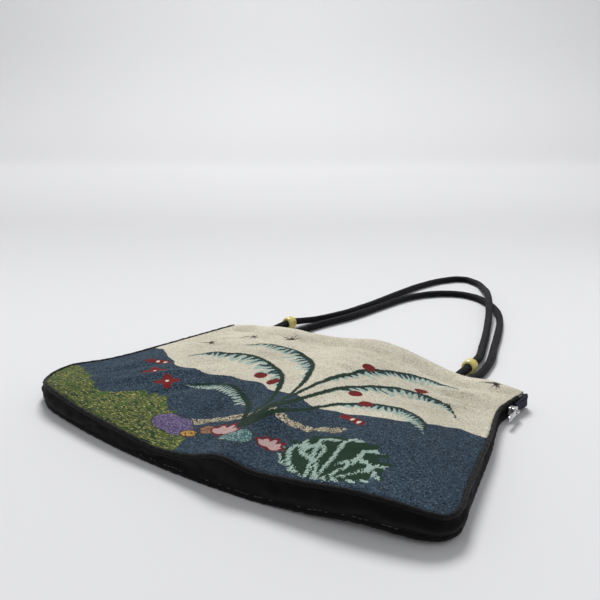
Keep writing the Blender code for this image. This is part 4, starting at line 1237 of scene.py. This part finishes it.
    def creams(self, x: Array, y: Array) -> Array:
        """Cream marks on the fish, the clump's rays, and the height on the panel."""
        marks = np.full(x.shape, -30.0)
        for px, py, turn in self.fish:
            way = math.radians(turn)
            for step in (-3.5, 3.0):
                spot = (px + step * math.cos(way), py + step * math.sin(way))
                marks = np.maximum(marks, self.ellipse(x, y, spot, (1.7, 1.9)))
        for spot in self.blossoms:
            marks = np.maximum(marks, self.ellipse(x, y, spot, (1.7, 1.7)))
        rays = np.full(x.shape, -30.0)
        for number, frond in enumerate(self.fronds):
            far, share, aside = self.from_line(x, y, frond)
            barb = np.abs(np.sin(share * 38.0 + aside * 0.9 + number))
            rays = np.maximum(rays, 0.2 + 3.2 * barb * (1 - 0.4 * share) * (0.35 + share) - far)
        return np.stack([marks, rays, y], -1)

    def store(self, thing: bpy.types.Object, x: Array, y: Array) -> None:
        """Keep every field on a mesh whose points have the given places in mm."""
        for plate, values in (
                (Plate.GROUND, self.ground(x, y)), (Plate.LEAVES, self.foliage(x, y)),
                (Plate.BERRIES, self.fruit(x, y)), (Plate.STONES, self.stones(x, y)),
                (Plate.SMALL, self.small(x, y)), (Plate.CREAMS, self.creams(x, y))):
            layer = thing.data.attributes.new(plate.value, "FLOAT_VECTOR", "POINT")
            layer.data.foreach_set("vector", values.reshape(-1).astype(np.float32))


@dataclass
class FrontPanel:
    """The tapestry panel with its rolled hem along the mouth."""

    shape: BagShape
    design: Design = field(default_factory=Design)
    columns: int = 260
    rows: int = 168
    crowding: float = 1.25
    roll_rows: int = 9
    under_rows: int = 4

    def grid(self) -> tuple[Array, Array]:
        """The panel's middle surface with its hem, and the flat cloth's places."""
        s = self.shape
        across = np.linspace(0, 1, self.columns + 1)
        up = 1 - (1 - np.linspace(0, 1, self.rows + 1)) ** self.crowding
        inset = s.piping / 2 - 0.0004
        plan = s.panel_plan(across, up, inset, lambda a: s.top_edge(a, inset)[0])
        face = s.front_surface(*np.meshgrid(across, up), plan)
        ahead = face[-1] - face[-2]
        ahead[:, 2] = 0.0
        ahead /= np.linalg.norm(ahead, axis=1, keepdims=True)
        radius = (s.hem - s.cloth) / 2
        middle = face[-1] - ahead * radius - np.array([0.0, 0.0, radius])
        rows = list(face[:-1])
        for turn in np.linspace(0, math.pi, self.roll_rows + 1):
            rows.append(middle + ahead * radius * math.sin(turn)
                        + np.array([0.0, 0.0, radius * math.cos(turn)]))
        edge = face[-1]
        for share in np.linspace(0.25, 1.0, self.under_rows):
            back = s.hem_turn * share
            plan = (edge - ahead * back)[:, :2]
            level = np.full(len(across), 1 - back / s.height)
            under = s.front_surface(across, level, plan)
            under[:, 2] = np.minimum(under[:, 2], edge[:, 2] + s.hem_swell) - s.hem + s.cloth
            rows.append(under)
        points = np.array(rows)
        rise = np.linalg.norm(np.diff(points, axis=0), axis=2).mean(axis=1)
        level = np.concatenate([[0.0], np.cumsum(rise)])
        uv = np.stack([points[:, :, 0], np.broadcast_to(level[:, None], points.shape[:2])], -1)
        uv[: self.rows + 1, :, 1] = points[: self.rows + 1, :, 1]
        uv[self.rows:, :, 0] = points[self.rows, :, 0]
        uv[self.rows:, :, 1] = points[self.rows, :, 1] + (level[self.rows:] - level[self.rows])[:, None]
        return points, uv

    def build(self, finishes: Finishes) -> bpy.types.Object:
        """Make the panel with the fields of its woven picture."""
        points, uv = self.grid()
        thing = grid_piece("tapestry_panel", points, uv)
        self.design.store(thing, uv[..., 0] * 1000, uv[..., 1] * 1000)
        dress(thing, finishes.tapestry, BAG, ["front_panel"])
        add_solid(thing, self.shape.cloth)
        return thing


@dataclass
class BackPanel:
    """The plain black panel that the bag lies on."""

    shape: BagShape
    stations: int = 420
    mouth_points: int = 120
    rings: Sequence[tuple[float, float]] = (
        (0.0, 1.0), (0.01, 0.98), (0.02, 0.93), (0.035, 0.82), (0.05, 0.68), (0.07, 0.48),
        (0.09, 0.30), (0.11, 0.16), (0.14, 0.05), (0.18, 0.0), (0.26, 0.0), (0.36, 0.0),
        (0.48, 0.0), (0.60, 0.0), (0.72, 0.0), (0.84, 0.0), (0.94, 0.0), (0.985, 0.0))

    def build(self, finishes: Finishes) -> bpy.types.Object:
        """Make the panel as rings from its rim to its middle."""
        s = self.shape
        inset = s.piping / 2 + 0.0001
        along = np.linspace(0.0, 1.0, self.stations)
        ends = s.outline_at(np.array([0.0, 1.0]), inset)[0]
        share = np.linspace(1, 0, self.mouth_points + 2)[1:-1]
        mouth = ends[0] + (ends[1] - ends[0]) * share[:, None]
        rim = np.vstack([s.outline_at(along, inset)[0], mouth])
        rim = np.vstack([rim, rim[:1]])
        lift = np.concatenate([s.back_height(along) - s.piping / 2, np.zeros(len(mouth) + 1)])
        middle = (rim.max(axis=0) + rim.min(axis=0)) / 2
        points = []
        for inward, share in self.rings:
            plan = rim + (middle - rim) * inward
            soft = 0.00012 * (1 + ripples(plan, 0.02, 4)) * min(1.0, inward * 12)
            points.append(np.c_[plan, s.cloth / 2 + lift * share + soft])
        points = np.array(points)
        thing = grid_piece("back_cloth_panel", points, points[..., :2].copy())
        dress(thing, finishes.back, BAG, ["back_panel"])
        add_solid(thing, s.cloth)
        return thing


@dataclass
class Gusset:
    """The black woven band round the sides and the base."""

    shape: BagShape
    stations: int = 560
    rows: int = 26
    ends: tuple[float, float] = (0.0, 1.0)
    # Long folds in the band: middle along the outline, length, width, lean and height in mm
    folds: Sequence[tuple[float, ...]] = (
        (0.255, 0.05, 0.30, 0.22, 1.2), (0.30, 0.08, 0.22, 0.62, -1.0),
        (0.355, 0.07, 0.26, 0.40, 1.3), (0.40, 0.06, 0.22, 0.66, -1.1),
        (0.445, 0.06, 0.24, 0.36, 1.0), (0.49, 0.07, 0.20, 0.58, -0.8),
        (0.56, 0.05, 0.25, 0.50, 1.0), (0.62, 0.05, 0.24, 0.60, 0.9),
        (0.675, 0.04, 0.22, 0.35, -0.9), (0.73, 0.05, 0.26, 0.55, -0.7),
        (0.80, 0.07, 0.30, 0.50, -0.6), (0.90, 0.06, 0.30, 0.45, 0.5),
        (0.10, 0.09, 0.30, 0.55, -0.7), (0.18, 0.06, 0.26, 0.45, 0.6))

    def build(self, finishes: Finishes, range_of: tuple[float, float]) -> bpy.types.Object:
        """Make the band between the two pipings.

        Args:
            finishes: the shared materials.
            range_of: where the band starts and ends on the outline.

        Returns:
            The band.
        """
        s = self.shape
        along = np.linspace(*range_of, self.stations)
        apart = s.piping / 2 - 0.0003
        low, high = s.back_height(along) + apart, s.front_height(along) - apart
        belly = s.depth * s.band_belly.at(along)
        place, outward = s.outline_at(along)
        rows, uv = [], []
        for share in np.linspace(0, 1, self.rows + 1):
            body = math.sin(math.pi * share)
            relief = np.zeros(len(along))
            for middle, length, width, lean, height in self.folds:
                off = (along - middle) / length
                line = lean + off * 0.8
                relief += height / 1000 * np.exp(-(off * 1.6) ** 2 - ((share - line) / width) ** 2)
            where = np.stack([along * s.length, np.full(len(along), share * 0.016)], -1)
            small = 0.00028 * ripples(where * np.array([1.0, 1.6]), 0.014, 41)
            push = belly * body**2 + (relief + small) * min(1.0, body * 1.6)
            rows.append(np.c_[place + outward * push[:, None], low + (high - low) * share])
            uv.append(np.c_[along * s.length, share * (high - low)])
        thing = grid_piece("gusset_band", np.array(rows), np.array(uv))
        dress(thing, finishes.gusset, BAG, ["gusset"])
        add_solid(thing, s.band_cloth)
        return thing


@dataclass
class Piping:
    """A thin cloth-covered cord where the band meets a panel."""

    shape: BagShape
    layer: Layer
    stations: int = 900
    sides: int = 14

    def build(self, finishes: Finishes, range_of: tuple[float, float]) -> bpy.types.Object:
        """Make the cord with the puckers that its seam pulls in."""
        s = self.shape
        along = np.linspace(*range_of, self.stations)
        height = s.front_height(along) if self.layer is Layer.FRONT else s.back_height(along)
        line = np.c_[s.outline_at(along)[0], height]
        turn = np.arange(self.sides) * 2 * math.pi / self.sides
        runs = runs_of(line)[:, None]
        where = np.stack(np.broadcast_arrays(runs, np.cos(turn)[None] * 0.002,
                                             np.sin(turn)[None] * 0.002), -1)
        radius = s.piping / 2 * (0.98 + 0.065 * ripples(where, 0.006, 51)
                                 + 0.03 * np.sin(runs * 2 * math.pi / 0.0042
                                                 + turn[None] * 1.0))
        thing = tube_piece(f"piping_cord_{self.layer.value}", line, radius)
        return dress(thing, finishes.piping, BAG, [f"piping_{self.layer.value}"])


@dataclass
class ZipTape:
    """One half of the open zip, a flat tape with a coil of fine teeth along its edge."""

    shape: BagShape
    layer: Layer
    width: float = 0.0125
    thickness: float = 0.0008
    coil: float = 0.0020
    lap: float = 0.003
    back_inset: float = 0.0155
    end_inset: float = 0.055
    stations: int = 300

    def edge(self) -> tuple[Array, Array]:
        """The tape's sewn edge, and the way to its coil at each point."""
        s = self.shape
        across = np.linspace(self.end_inset, 1 - self.end_inset, self.stations)
        if self.layer is Layer.BACK:
            ends = s.outline_at(np.array([0.0, 1.0]), s.piping / 2 + s.clearance)[0]
            plan = ends[0] + (ends[1] - ends[0]) * across[:, None]
            lying = np.full(self.stations, s.cloth + s.clearance + self.thickness)
            inward = np.tile([0.0, -1.0, 0.0], (self.stations, 1))
            return np.c_[plan, lying] + inward * self.back_inset, inward
        plan, height = s.top_edge(across, s.piping / 2)
        behind = s.panel_plan(np.linspace(0, 1, 60), np.array([0.98]), s.piping / 2,
                              lambda a: s.top_edge(a, s.piping / 2)[0])[0]
        behind = spline(np.linspace(0, 1, 60), behind, across)
        ahead = np.c_[plan - behind, np.zeros(self.stations)]
        ahead /= np.linalg.norm(ahead, axis=1, keepdims=True)
        start = np.c_[plan, height + s.hem_swell] - ahead * (s.hem_turn - self.lap)
        flap = [s.front_surface(across, np.full(self.stations, 1 - back / s.height),
                                plan - ahead[:, :2] * back)[:, 2]
                for back in (s.hem_turn, s.hem_turn - self.lap)]
        start[:, 2] = (np.minimum(np.minimum(*flap), start[:, 2])
                       - s.hem + s.cloth / 2 - s.clearance)
        return start, -ahead

    def build(self, finishes: Finishes) -> bpy.types.Object:
        """Make the tape and its coil as one piece."""
        start, inward = self.edge()
        rise = self.coil - self.thickness if self.layer is Layer.BACK else 0.0
        profile = [(0.0, 0.0), (self.width / 2, 0.00005), (self.width, 0.0),
                   (self.width + 0.0003, -self.thickness / 2), (self.width, -self.thickness),
                   (self.width / 2, -self.thickness), (0.0, -self.thickness)]
        rings = np.array([start + inward * back + np.array([0.0, 0.0, up]) for back, up in profile])
        runs = runs_of(start)
        uv = np.stack([np.broadcast_to(runs, rings.shape[:2]),
                       np.broadcast_to(np.array([[p[0]] for p in profile]), rings.shape[:2])], -1)
        name = f"zip_tape_woven_{self.layer.value}"
        tape = grid_piece(name, rings, uv, closed=True)
        turns = int(runs[-1] / 0.0014)
        steps = np.linspace(0.0, runs[-1], turns * 10)
        middle = np.stack([np.interp(steps, runs, (start + inward * (self.width + self.coil * 0.6))
                                     [:, k]) for k in range(3)], -1)
        way = np.stack([np.interp(steps, runs, inward[:, k]) for k in range(3)], -1)
        phase = np.arange(len(steps)) * 2 * math.pi / 10
        radius = self.coil / 2 - 0.00028
        middle[:, 2] += rise - self.coil / 2
        helix = middle + way * (radius * np.cos(phase))[:, None]
        helix[:, 2] += radius * np.sin(phase)
        coil = tube_piece("coil", helix, np.full((len(steps), 6), 0.00026))
        joined = join_pieces(tape, [coil])
        return dress(joined, finishes.tape, BAG, [f"zip_tape_{self.layer.value}"])


def join_pieces(first: bpy.types.Object, rest: Sequence[bpy.types.Object]) -> bpy.types.Object:
    """Join pieces into the first one, keeping its name."""
    with bpy.context.temp_override(active_object=first, object=first,
                                   selected_editable_objects=[first, *rest],
                                   selected_objects=[first, *rest]):
        bpy.ops.object.join()
    return first


@dataclass
class ZipEnd:
    """The zip's doubled tape end that wraps round the mouth's right corner."""

    shape: BagShape
    thickness: float = 0.0020
    filling: float = 0.0032
    hug: float = 0.0022
    stations: int = 90
    # Out, up, low and high: shares of the depth, the height and twice the depth
    rows: Sequence[tuple[float, float, float, float]] = (
        (-0.773, -0.046, 0.11, 0.38), (-0.453, -0.016, 0.11, 0.38),
        (-0.137, 0.012, 0.12, 0.42), (0.149, 0.015, 0.13, 0.58),
        (0.287, -0.010, 0.16, 0.60), (0.287, -0.040, 0.18, 0.58),
        (0.209, -0.072, 0.18, 0.56), (0.185, -0.100, 0.18, 0.56))

    def path(self, shares: Array) -> Array:
        """The tape's route as plan X, plan Y, low and high."""
        s = self.shape
        table = np.array(self.rows)
        up = s.right_top + table[:, 1]
        rows = np.c_[s.side_x(1, s.right_side, up) + s.depth * table[:, 0], up * s.height,
                     s.depth * table[:, 2], s.depth * table[:, 3]]
        return spline(np.linspace(0, 1, len(rows)), rows, shares)

    def build(self, finishes: Finishes) -> bpy.types.Object:
        """Make the tape end with soft edges and a slight wave."""
        route = self.path(np.linspace(0, 1, self.stations))
        ahead = np.gradient(route[:, :2], axis=0)
        ahead /= np.linalg.norm(ahead, axis=1, keepdims=True)
        aside = np.c_[ahead[:, 1], -ahead[:, 0]]
        runs = runs_of(np.c_[route[:, :2], route[:, 2]])
        hump = np.sin(math.pi * np.linspace(0, 1, self.stations)) ** 1.5
        route[:, :2] += aside * (self.hug * hump)[:, None]
        half = self.thickness / 2
        rings, uv = [], []
        corners = [(-0.6, 0.0), (0.0, -0.03), (0.6, 0.0), (0.95, 0.12), (0.86, 0.3), (0.80, 0.5),
                   (0.86, 0.7), (0.95, 0.88), (0.6, 1.0), (0.0, 1.02), (-0.6, 1.0), (-0.95, 0.88),
                   (-0.86, 0.7), (-0.80, 0.5), (-0.86, 0.3), (-0.95, 0.12)]
        wave = 0.00025 * np.sin(runs / 0.0042)
        for out, share in corners:
            push = half * out + wave * math.sin(math.pi * share)
            push = push + (self.filling if out > 0 else 0.0006) * hump
            plan = route[:, :2] + aside * push[:, None]
            rings.append(np.c_[plan, route[:, 2] + (route[:, 3] - route[:, 2]) * share])
            uv.append(np.c_[runs, (route[:, 3] - route[:, 2]) * share + 0.004 * (out > 0)])
        thing = grid_piece("zip_tape_end", np.array(rings), np.array(uv), closed=True)
        return dress(thing, finishes.tape, BAG, ["zip_tail"])


@dataclass
class Slider:
    """The zip's slider and its pull."""

    tail: ZipEnd
    length: float = 0.0090
    width: float = 0.0074
    wall: float = 0.0011
    bridge_width: float = 0.0022
    wire: float = 0.0010
    pull_length: float = 0.0200
    pull_width: float = 0.0052
    pull_wire: float = 0.0012
    gap: float = 0.0004

    def place(self) -> tuple[Array, Array, float]:
        """The slider's middle, the pull's pin, and half the slider's thickness."""
        s = self.tail.shape
        end = self.tail.path(np.array([1.0]))[0]
        half = self.tail.thickness / 2 + s.clearance + self.wall
        top = end[1] - 2 * s.clearance
        beside = s.side_x(1, s.right_side, np.array([end[1], top, top - self.length]) / s.height)
        x = max(beside[1:]) + end[0] - beside[0]
        middle = np.array([x, top - self.length / 2, (end[2] + end[3]) / 2])
        pin = middle + np.array([half + self.gap + self.pull_wire / 2, 0.0, 0.0])
        return middle, pin, half

    def plate(self, mesh: bmesh.types.BMesh, outline: Array, low: float, high: float,
              edge: float) -> None:
        """Add a plate with a softened rim.

        Args:
            mesh: where the plate is added.
            outline: its outline in Y and Z.
            low: its lower X.
            high: its upper X.
            edge: how far its rim is rounded off.
        """
        middle = outline.mean(axis=0)
        loops = []
        for x, shrink in ((low, edge), (low + edge * 0.3, edge * 0.3), (low + edge, 0.0),
                          (high - edge, 0.0), (high - edge * 0.3, edge * 0.3), (high, edge)):
            away = outline - middle
            far = np.linalg.norm(away, axis=1, keepdims=True)
            spots = middle + away * (1 - shrink / far)
            loops.append([mesh.verts.new((x, y, z)) for y, z in spots])
        for below, above in zip(loops, loops[1:]):
            for k, vert in enumerate(below):
                nxt = (k + 1) % len(below)
                mesh.faces.new((vert, below[nxt], above[nxt], above[k]))
        mesh.faces.new(loops[0][::-1])
        mesh.faces.new(loops[-1])

    @staticmethod
    def lozenge(length: float, width: float, nose: float, power: float = 3.4,
                count: int = 48) -> Array:
        """An outline in Y and Z that is rounder and narrower at its high-Y end."""
        turn = np.arange(count) * 2 * math.pi / count
        y = np.sign(np.cos(turn)) * np.abs(np.cos(turn)) ** (2 / power) * length / 2
        z = np.sign(np.sin(turn)) * np.abs(np.sin(turn)) ** (2 / power) * width / 2
        return np.c_[y, z * (1 - nose * np.clip(y / length + 0.5, 0, 1) ** 2)]

    def build(self, finishes: Finishes) -> bpy.types.Object:
        """Make the slider: two flanged plates, the post between them and the bridge."""
        middle, pin, half = self.place()
        mesh = bmesh.new()
        outline = self.lozenge(self.length, self.width, 0.18)
        self.plate(mesh, outline, -half, -half + self.wall, 0.0003)
        self.plate(mesh, outline, half - self.wall, half, 0.0003)
        post = self.lozenge(self.length * 0.34, self.width * 0.30, 0.5, 2.4, 24)
        self.plate(mesh, post + np.array([self.length * 0.30, 0.0]), -half + self.wall * 0.5,
                   half - self.wall * 0.5, 0.0001)
        for side in (-1, 1):
            flange = self.lozenge(self.length * 0.62, self.wall * 0.9, 0.0, 4.0, 24)
            spot = np.array([-self.length * 0.13, side * (self.width / 2 - self.wall * 0.62)])
            self.plate(mesh, flange + spot, -half + self.wall * 0.5, -self.tail.thickness * 0.18,
                       0.0001)
            self.plate(mesh, flange + spot, self.tail.thickness * 0.18, half - self.wall * 0.5,
                       0.0001)
        reach = self.pull_wire / 2 + self.gap + self.wire / 2
        off = pin[0] - middle[0]
        arch = []
        for turn in np.linspace(-1.0, 1.0, 25):
            angle = turn * math.pi / 2
            out = off + (reach) * math.cos(angle) ** 0.7
            arch.append((min(out, off + reach) if abs(turn) < 1 else half - 0.0002,
                         reach * math.sin(angle)))
        arch[0], arch[-1] = (half - 0.0003, -reach), (half - 0.0003, reach)
        sides = 12
        loops = []
        line = np.array(arch)
        way = np.gradient(line, axis=0)
        way /= np.linalg.norm(way, axis=1, keepdims=True)
        for (x, y), (dx, dy) in zip(line, way):
            ring = []
            for k in range(sides):
                angle = k * 2 * math.pi / sides
                thick = self.wire / 2 * 0.96 * math.cos(angle)
                wide = self.bridge_width / 2 * math.copysign(abs(math.sin(angle)) ** 0.6,
                                                             math.sin(angle))
                ring.append(mesh.verts.new((x - dy * thick, y + dx * thick, wide)))
            loops.append(ring)
        for below, above in zip(loops, loops[1:]):
            for k in range(sides):
                nxt = (k + 1) % sides
                mesh.faces.new((below[k], below[nxt], above[nxt], above[k]))
        mesh.faces.new(loops[0][::-1])
        mesh.faces.new(loops[-1])
        thing = self.settle(mesh, "zip_slider_body", middle)
        return dress(thing, finishes.metal, BAG, ["zip_slider"])

    def build_pull(self, finishes: Finishes) -> bpy.types.Object:
        """Make the pull: a tapered tongue with a window for the bridge."""
        _, pin, _ = self.place()
        bar = self.pull_wire / 2
        foot = bar + self.gap + self.wire
        window_end = math.hypot(foot, foot) + self.gap
        count = 64
        turn = np.arange(count) * 2 * math.pi / count
        cos, sin = np.cos(turn), np.sin(turn)

        def squircle(middle: float, half_y: float, half_z: float, power: float) -> Array:
            y = np.sign(cos) * np.abs(cos) ** (2 / power) * half_y + middle
            return np.c_[y, np.sign(sin) * np.abs(sin) ** (2 / power) * half_z]

        top, low = bar, -self.pull_length + bar
        outer = squircle((top + low) / 2, (top - low) / 2, self.pull_width / 2, 4.5)
        waist = 1 - 0.16 * np.exp(-(((outer[:, 0] + 0.0075) / 0.0035) ** 2))
        outer[:, 1] *= waist
        window = squircle(-bar - window_end / 2, window_end / 2,
                          self.bridge_width / 2 + self.gap, 6.0)
        mesh = bmesh.new()
        loops = []
        thick = self.pull_wire / 2
        for share, x in ((1.0, 0.0), (0.0, thick * 0.55), (0.03, thick * 0.9), (0.10, thick),
                         (0.22, thick), (0.30, thick * 0.72), (0.80, thick * 0.72),
                         (0.90, thick * 0.95), (1.0, thick * 0.8)):
            spots = outer + (window - outer) * share
            if x == 0.0:
                spots = window
            loops.append([(x, y, z) for y, z in spots])
        mirrored = [[(-x, y, z) for x, y, z in loop] for loop in reversed(loops[1:])]
        ring = [[mesh.verts.new(spot) for spot in loop] for loop in loops[1:] + mirrored]
        for below, above in zip(ring, ring[1:] + ring[:1]):
            for k in range(count):
                nxt = (k + 1) % count
                mesh.faces.new((below[k], below[nxt], above[nxt], above[k]))
        thing = self.settle(mesh, "zip_pull_tongue", pin)
        return dress(thing, finishes.metal, PULL, ["zip_pull"])

    @staticmethod
    def settle(mesh: bmesh.types.BMesh, name: str, middle: Array) -> bpy.types.Object:
        """Turn a bmesh round a point of the bag into an object of the row's frame."""
        bmesh.ops.recalc_face_normals(mesh, faces=mesh.faces)
        data = bpy.data.meshes.new(name)
        mesh.to_mesh(data)
        mesh.free()
        data.transform(Matrix.Translation(Vector(middle + SHIFT)))
        data.shade_smooth()
        data.set_sharp_from_angle(angle=math.radians(55))
        thing = bpy.data.objects.new(name, data)
        bpy.context.scene.collection.objects.link(thing)
        return thing


@dataclass
class Stitching:
    """Worn pale stitches along the lower edge of the base."""

    shape: BagShape
    spans: Sequence[tuple[float, float]] = ((0.455, 0.515), (0.535, 0.60), (0.62, 0.70))
    step: float = 0.0034
    thread: float = 0.00017

    def build(self, finishes: Finishes) -> bpy.types.Object:
        """Make the stitches as one piece."""
        s = self.shape
        pieces = []
        dice = np.random.default_rng(12)
        for start, end in self.spans:
            count = int((end - start) * s.length / self.step)
            for k in range(count):
                if dice.uniform() < 0.35:
                    continue
                middle = start + (end - start) * (k + 0.5) / count
                half = self.step * dice.uniform(0.22, 0.50) / s.length
                along = middle + half * np.linspace(-1, 1, 7)
                place, outward = s.outline_at(along)
                arch = np.sin(np.linspace(0, math.pi, 7))
                apart = s.piping / 2 + 0.0009 + dice.uniform(-0.0003, 0.0003)
                plan = place + outward * (0.0009 + 0.0005 * arch)[:, None]
                line = np.c_[plan, s.back_height(along) + apart]
                taper = self.thread * (0.45 + 0.55 * arch)[:, None] * np.ones((1, 7))
                pieces.append(tube_piece(f"stitch_{len(pieces)}", line, taper))
        joined = join_pieces(pieces[0], pieces[1:])
        joined.name = "base_stitches"
        return dress(joined, finishes.thread, BAG)


@dataclass
class Studio:
    """Camera, pale ground and soft light."""

    eye: tuple[float, float, float] = (0.3234, -0.4406, 0.2469)
    gaze: tuple[float, float, float] = (-0.5516, 0.7877, -0.2743)
    lens: float = 44.4
    sweep_start: float = 1.9
    sweep_radius: float = 0.9

    def camera(self) -> None:
        """Place the camera at the picture's angle."""
        data = bpy.data.cameras.new("camera")
        data.lens, data.sensor_width = self.lens, 36.0
        data.clip_start = 0.01
        camera = bpy.data.objects.new("camera", data)
        camera.location = self.eye
        camera.rotation_euler = Vector(self.gaze).to_track_quat("-Z", "Y").to_euler()
        bpy.context.scene.collection.objects.link(camera)
        bpy.context.scene.camera = camera

    def floor(self) -> None:
        """Make the ground that rises softly behind the object."""
        way = np.array(self.gaze[:2]) / np.linalg.norm(self.gaze[:2])
        aside = np.array([way[1], -way[0]])
        profile = [(-2.2 + 0.1 * k, 0.0) for k in range(int((self.sweep_start + 2.2) * 10) + 1)]
        for turn in np.radians(np.arange(5, 91, 5)):
            profile.append((self.sweep_start + self.sweep_radius * math.sin(turn),
                            self.sweep_radius * (1 - math.cos(turn))))
        profile.append((self.sweep_start + self.sweep_radius, 1.2))
        rows = []
        for far, height in profile:
            spots = way * far + np.linspace(-3.5, 3.5, 15)[:, None] * aside
            rows.append(np.c_[spots, np.full(15, height)])
        points = np.array(rows) - SHIFT
        ground = grid_piece("ground", points, points[..., :2].copy())
        ground.data.materials.append(FloorFinish().make())

    def light(self) -> None:
        """Place a broad light overhead, a little behind, and a faint fill."""
        for name, place, size, power in (
                ("overhead", (-2.7, 3.4, 5.6), 2.8, 335.0), ("fill", (1.6, -1.6, 1.8), 2.0, 8.0),
                ("backdrop", (-0.5, 0.7, 1.9), 1.4, 27.0)):
            data = bpy.data.lights.new(name, "AREA")
            data.shape, data.size, data.energy = "DISK", size, power
            lamp = bpy.data.objects.new(name, data)
            lamp.location = place
            aim = Vector((-1.8, 2.6, 0.75)) if name == "backdrop" else Vector((0, 0.1, 0))
            lamp.rotation_euler = (aim - Vector(place)).to_track_quat("-Z", "Y").to_euler()
            bpy.context.scene.collection.objects.link(lamp)
        world = bpy.data.worlds.new("pale_room")
        world.use_nodes = True
        world.node_tree.nodes["Background"].inputs["Color"].default_value = shade(246, 247, 250)
        world.node_tree.nodes["Background"].inputs["Strength"].default_value = 0.37
        bpy.context.scene.world = world
        bpy.context.scene.view_settings.view_transform = "Standard"


def main() -> None:
    """Build the scene in order and report each piece."""
    logging.basicConfig(level=logging.INFO, format="%(message)s", stream=sys.stdout)
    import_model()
    studio = Studio()
    studio.camera()
    shape = BagShape()
    finishes = Finishes.make()

    front = Handle(Layer.FRONT, FRONT_ROUTE, shape)
    back = Handle(Layer.BACK, BACK_ROUTE, shape)
    beads = [Bead("glazed_bead_front_left", (-0.3927, 1.1955, 0.933), front).build(finishes),
             Bead("glazed_bead_front_right", (0.2931, 1.1864, 0.933), front).build(finishes)]
    front.declare(front.build(finishes))
    back.declare(back.build(finishes))

    panel = FrontPanel(shape).build(finishes)
    lining = BackPanel(shape).build(finishes)
    band = Gusset(shape).build(finishes, (0.006, 0.990))
    for layer in Layer:
        Piping(shape, layer).build(finishes, (0.004, 0.985))
        ZipTape(shape, layer).build(finishes)
    tail = ZipEnd(shape)
    tail.build(finishes)
    slider = Slider(tail)
    slider.build(finishes)
    slider.build_pull(finishes)
    Stitching(shape).build(finishes)
    studio.floor()
    studio.light()


if __name__ == "__main__":
    main()
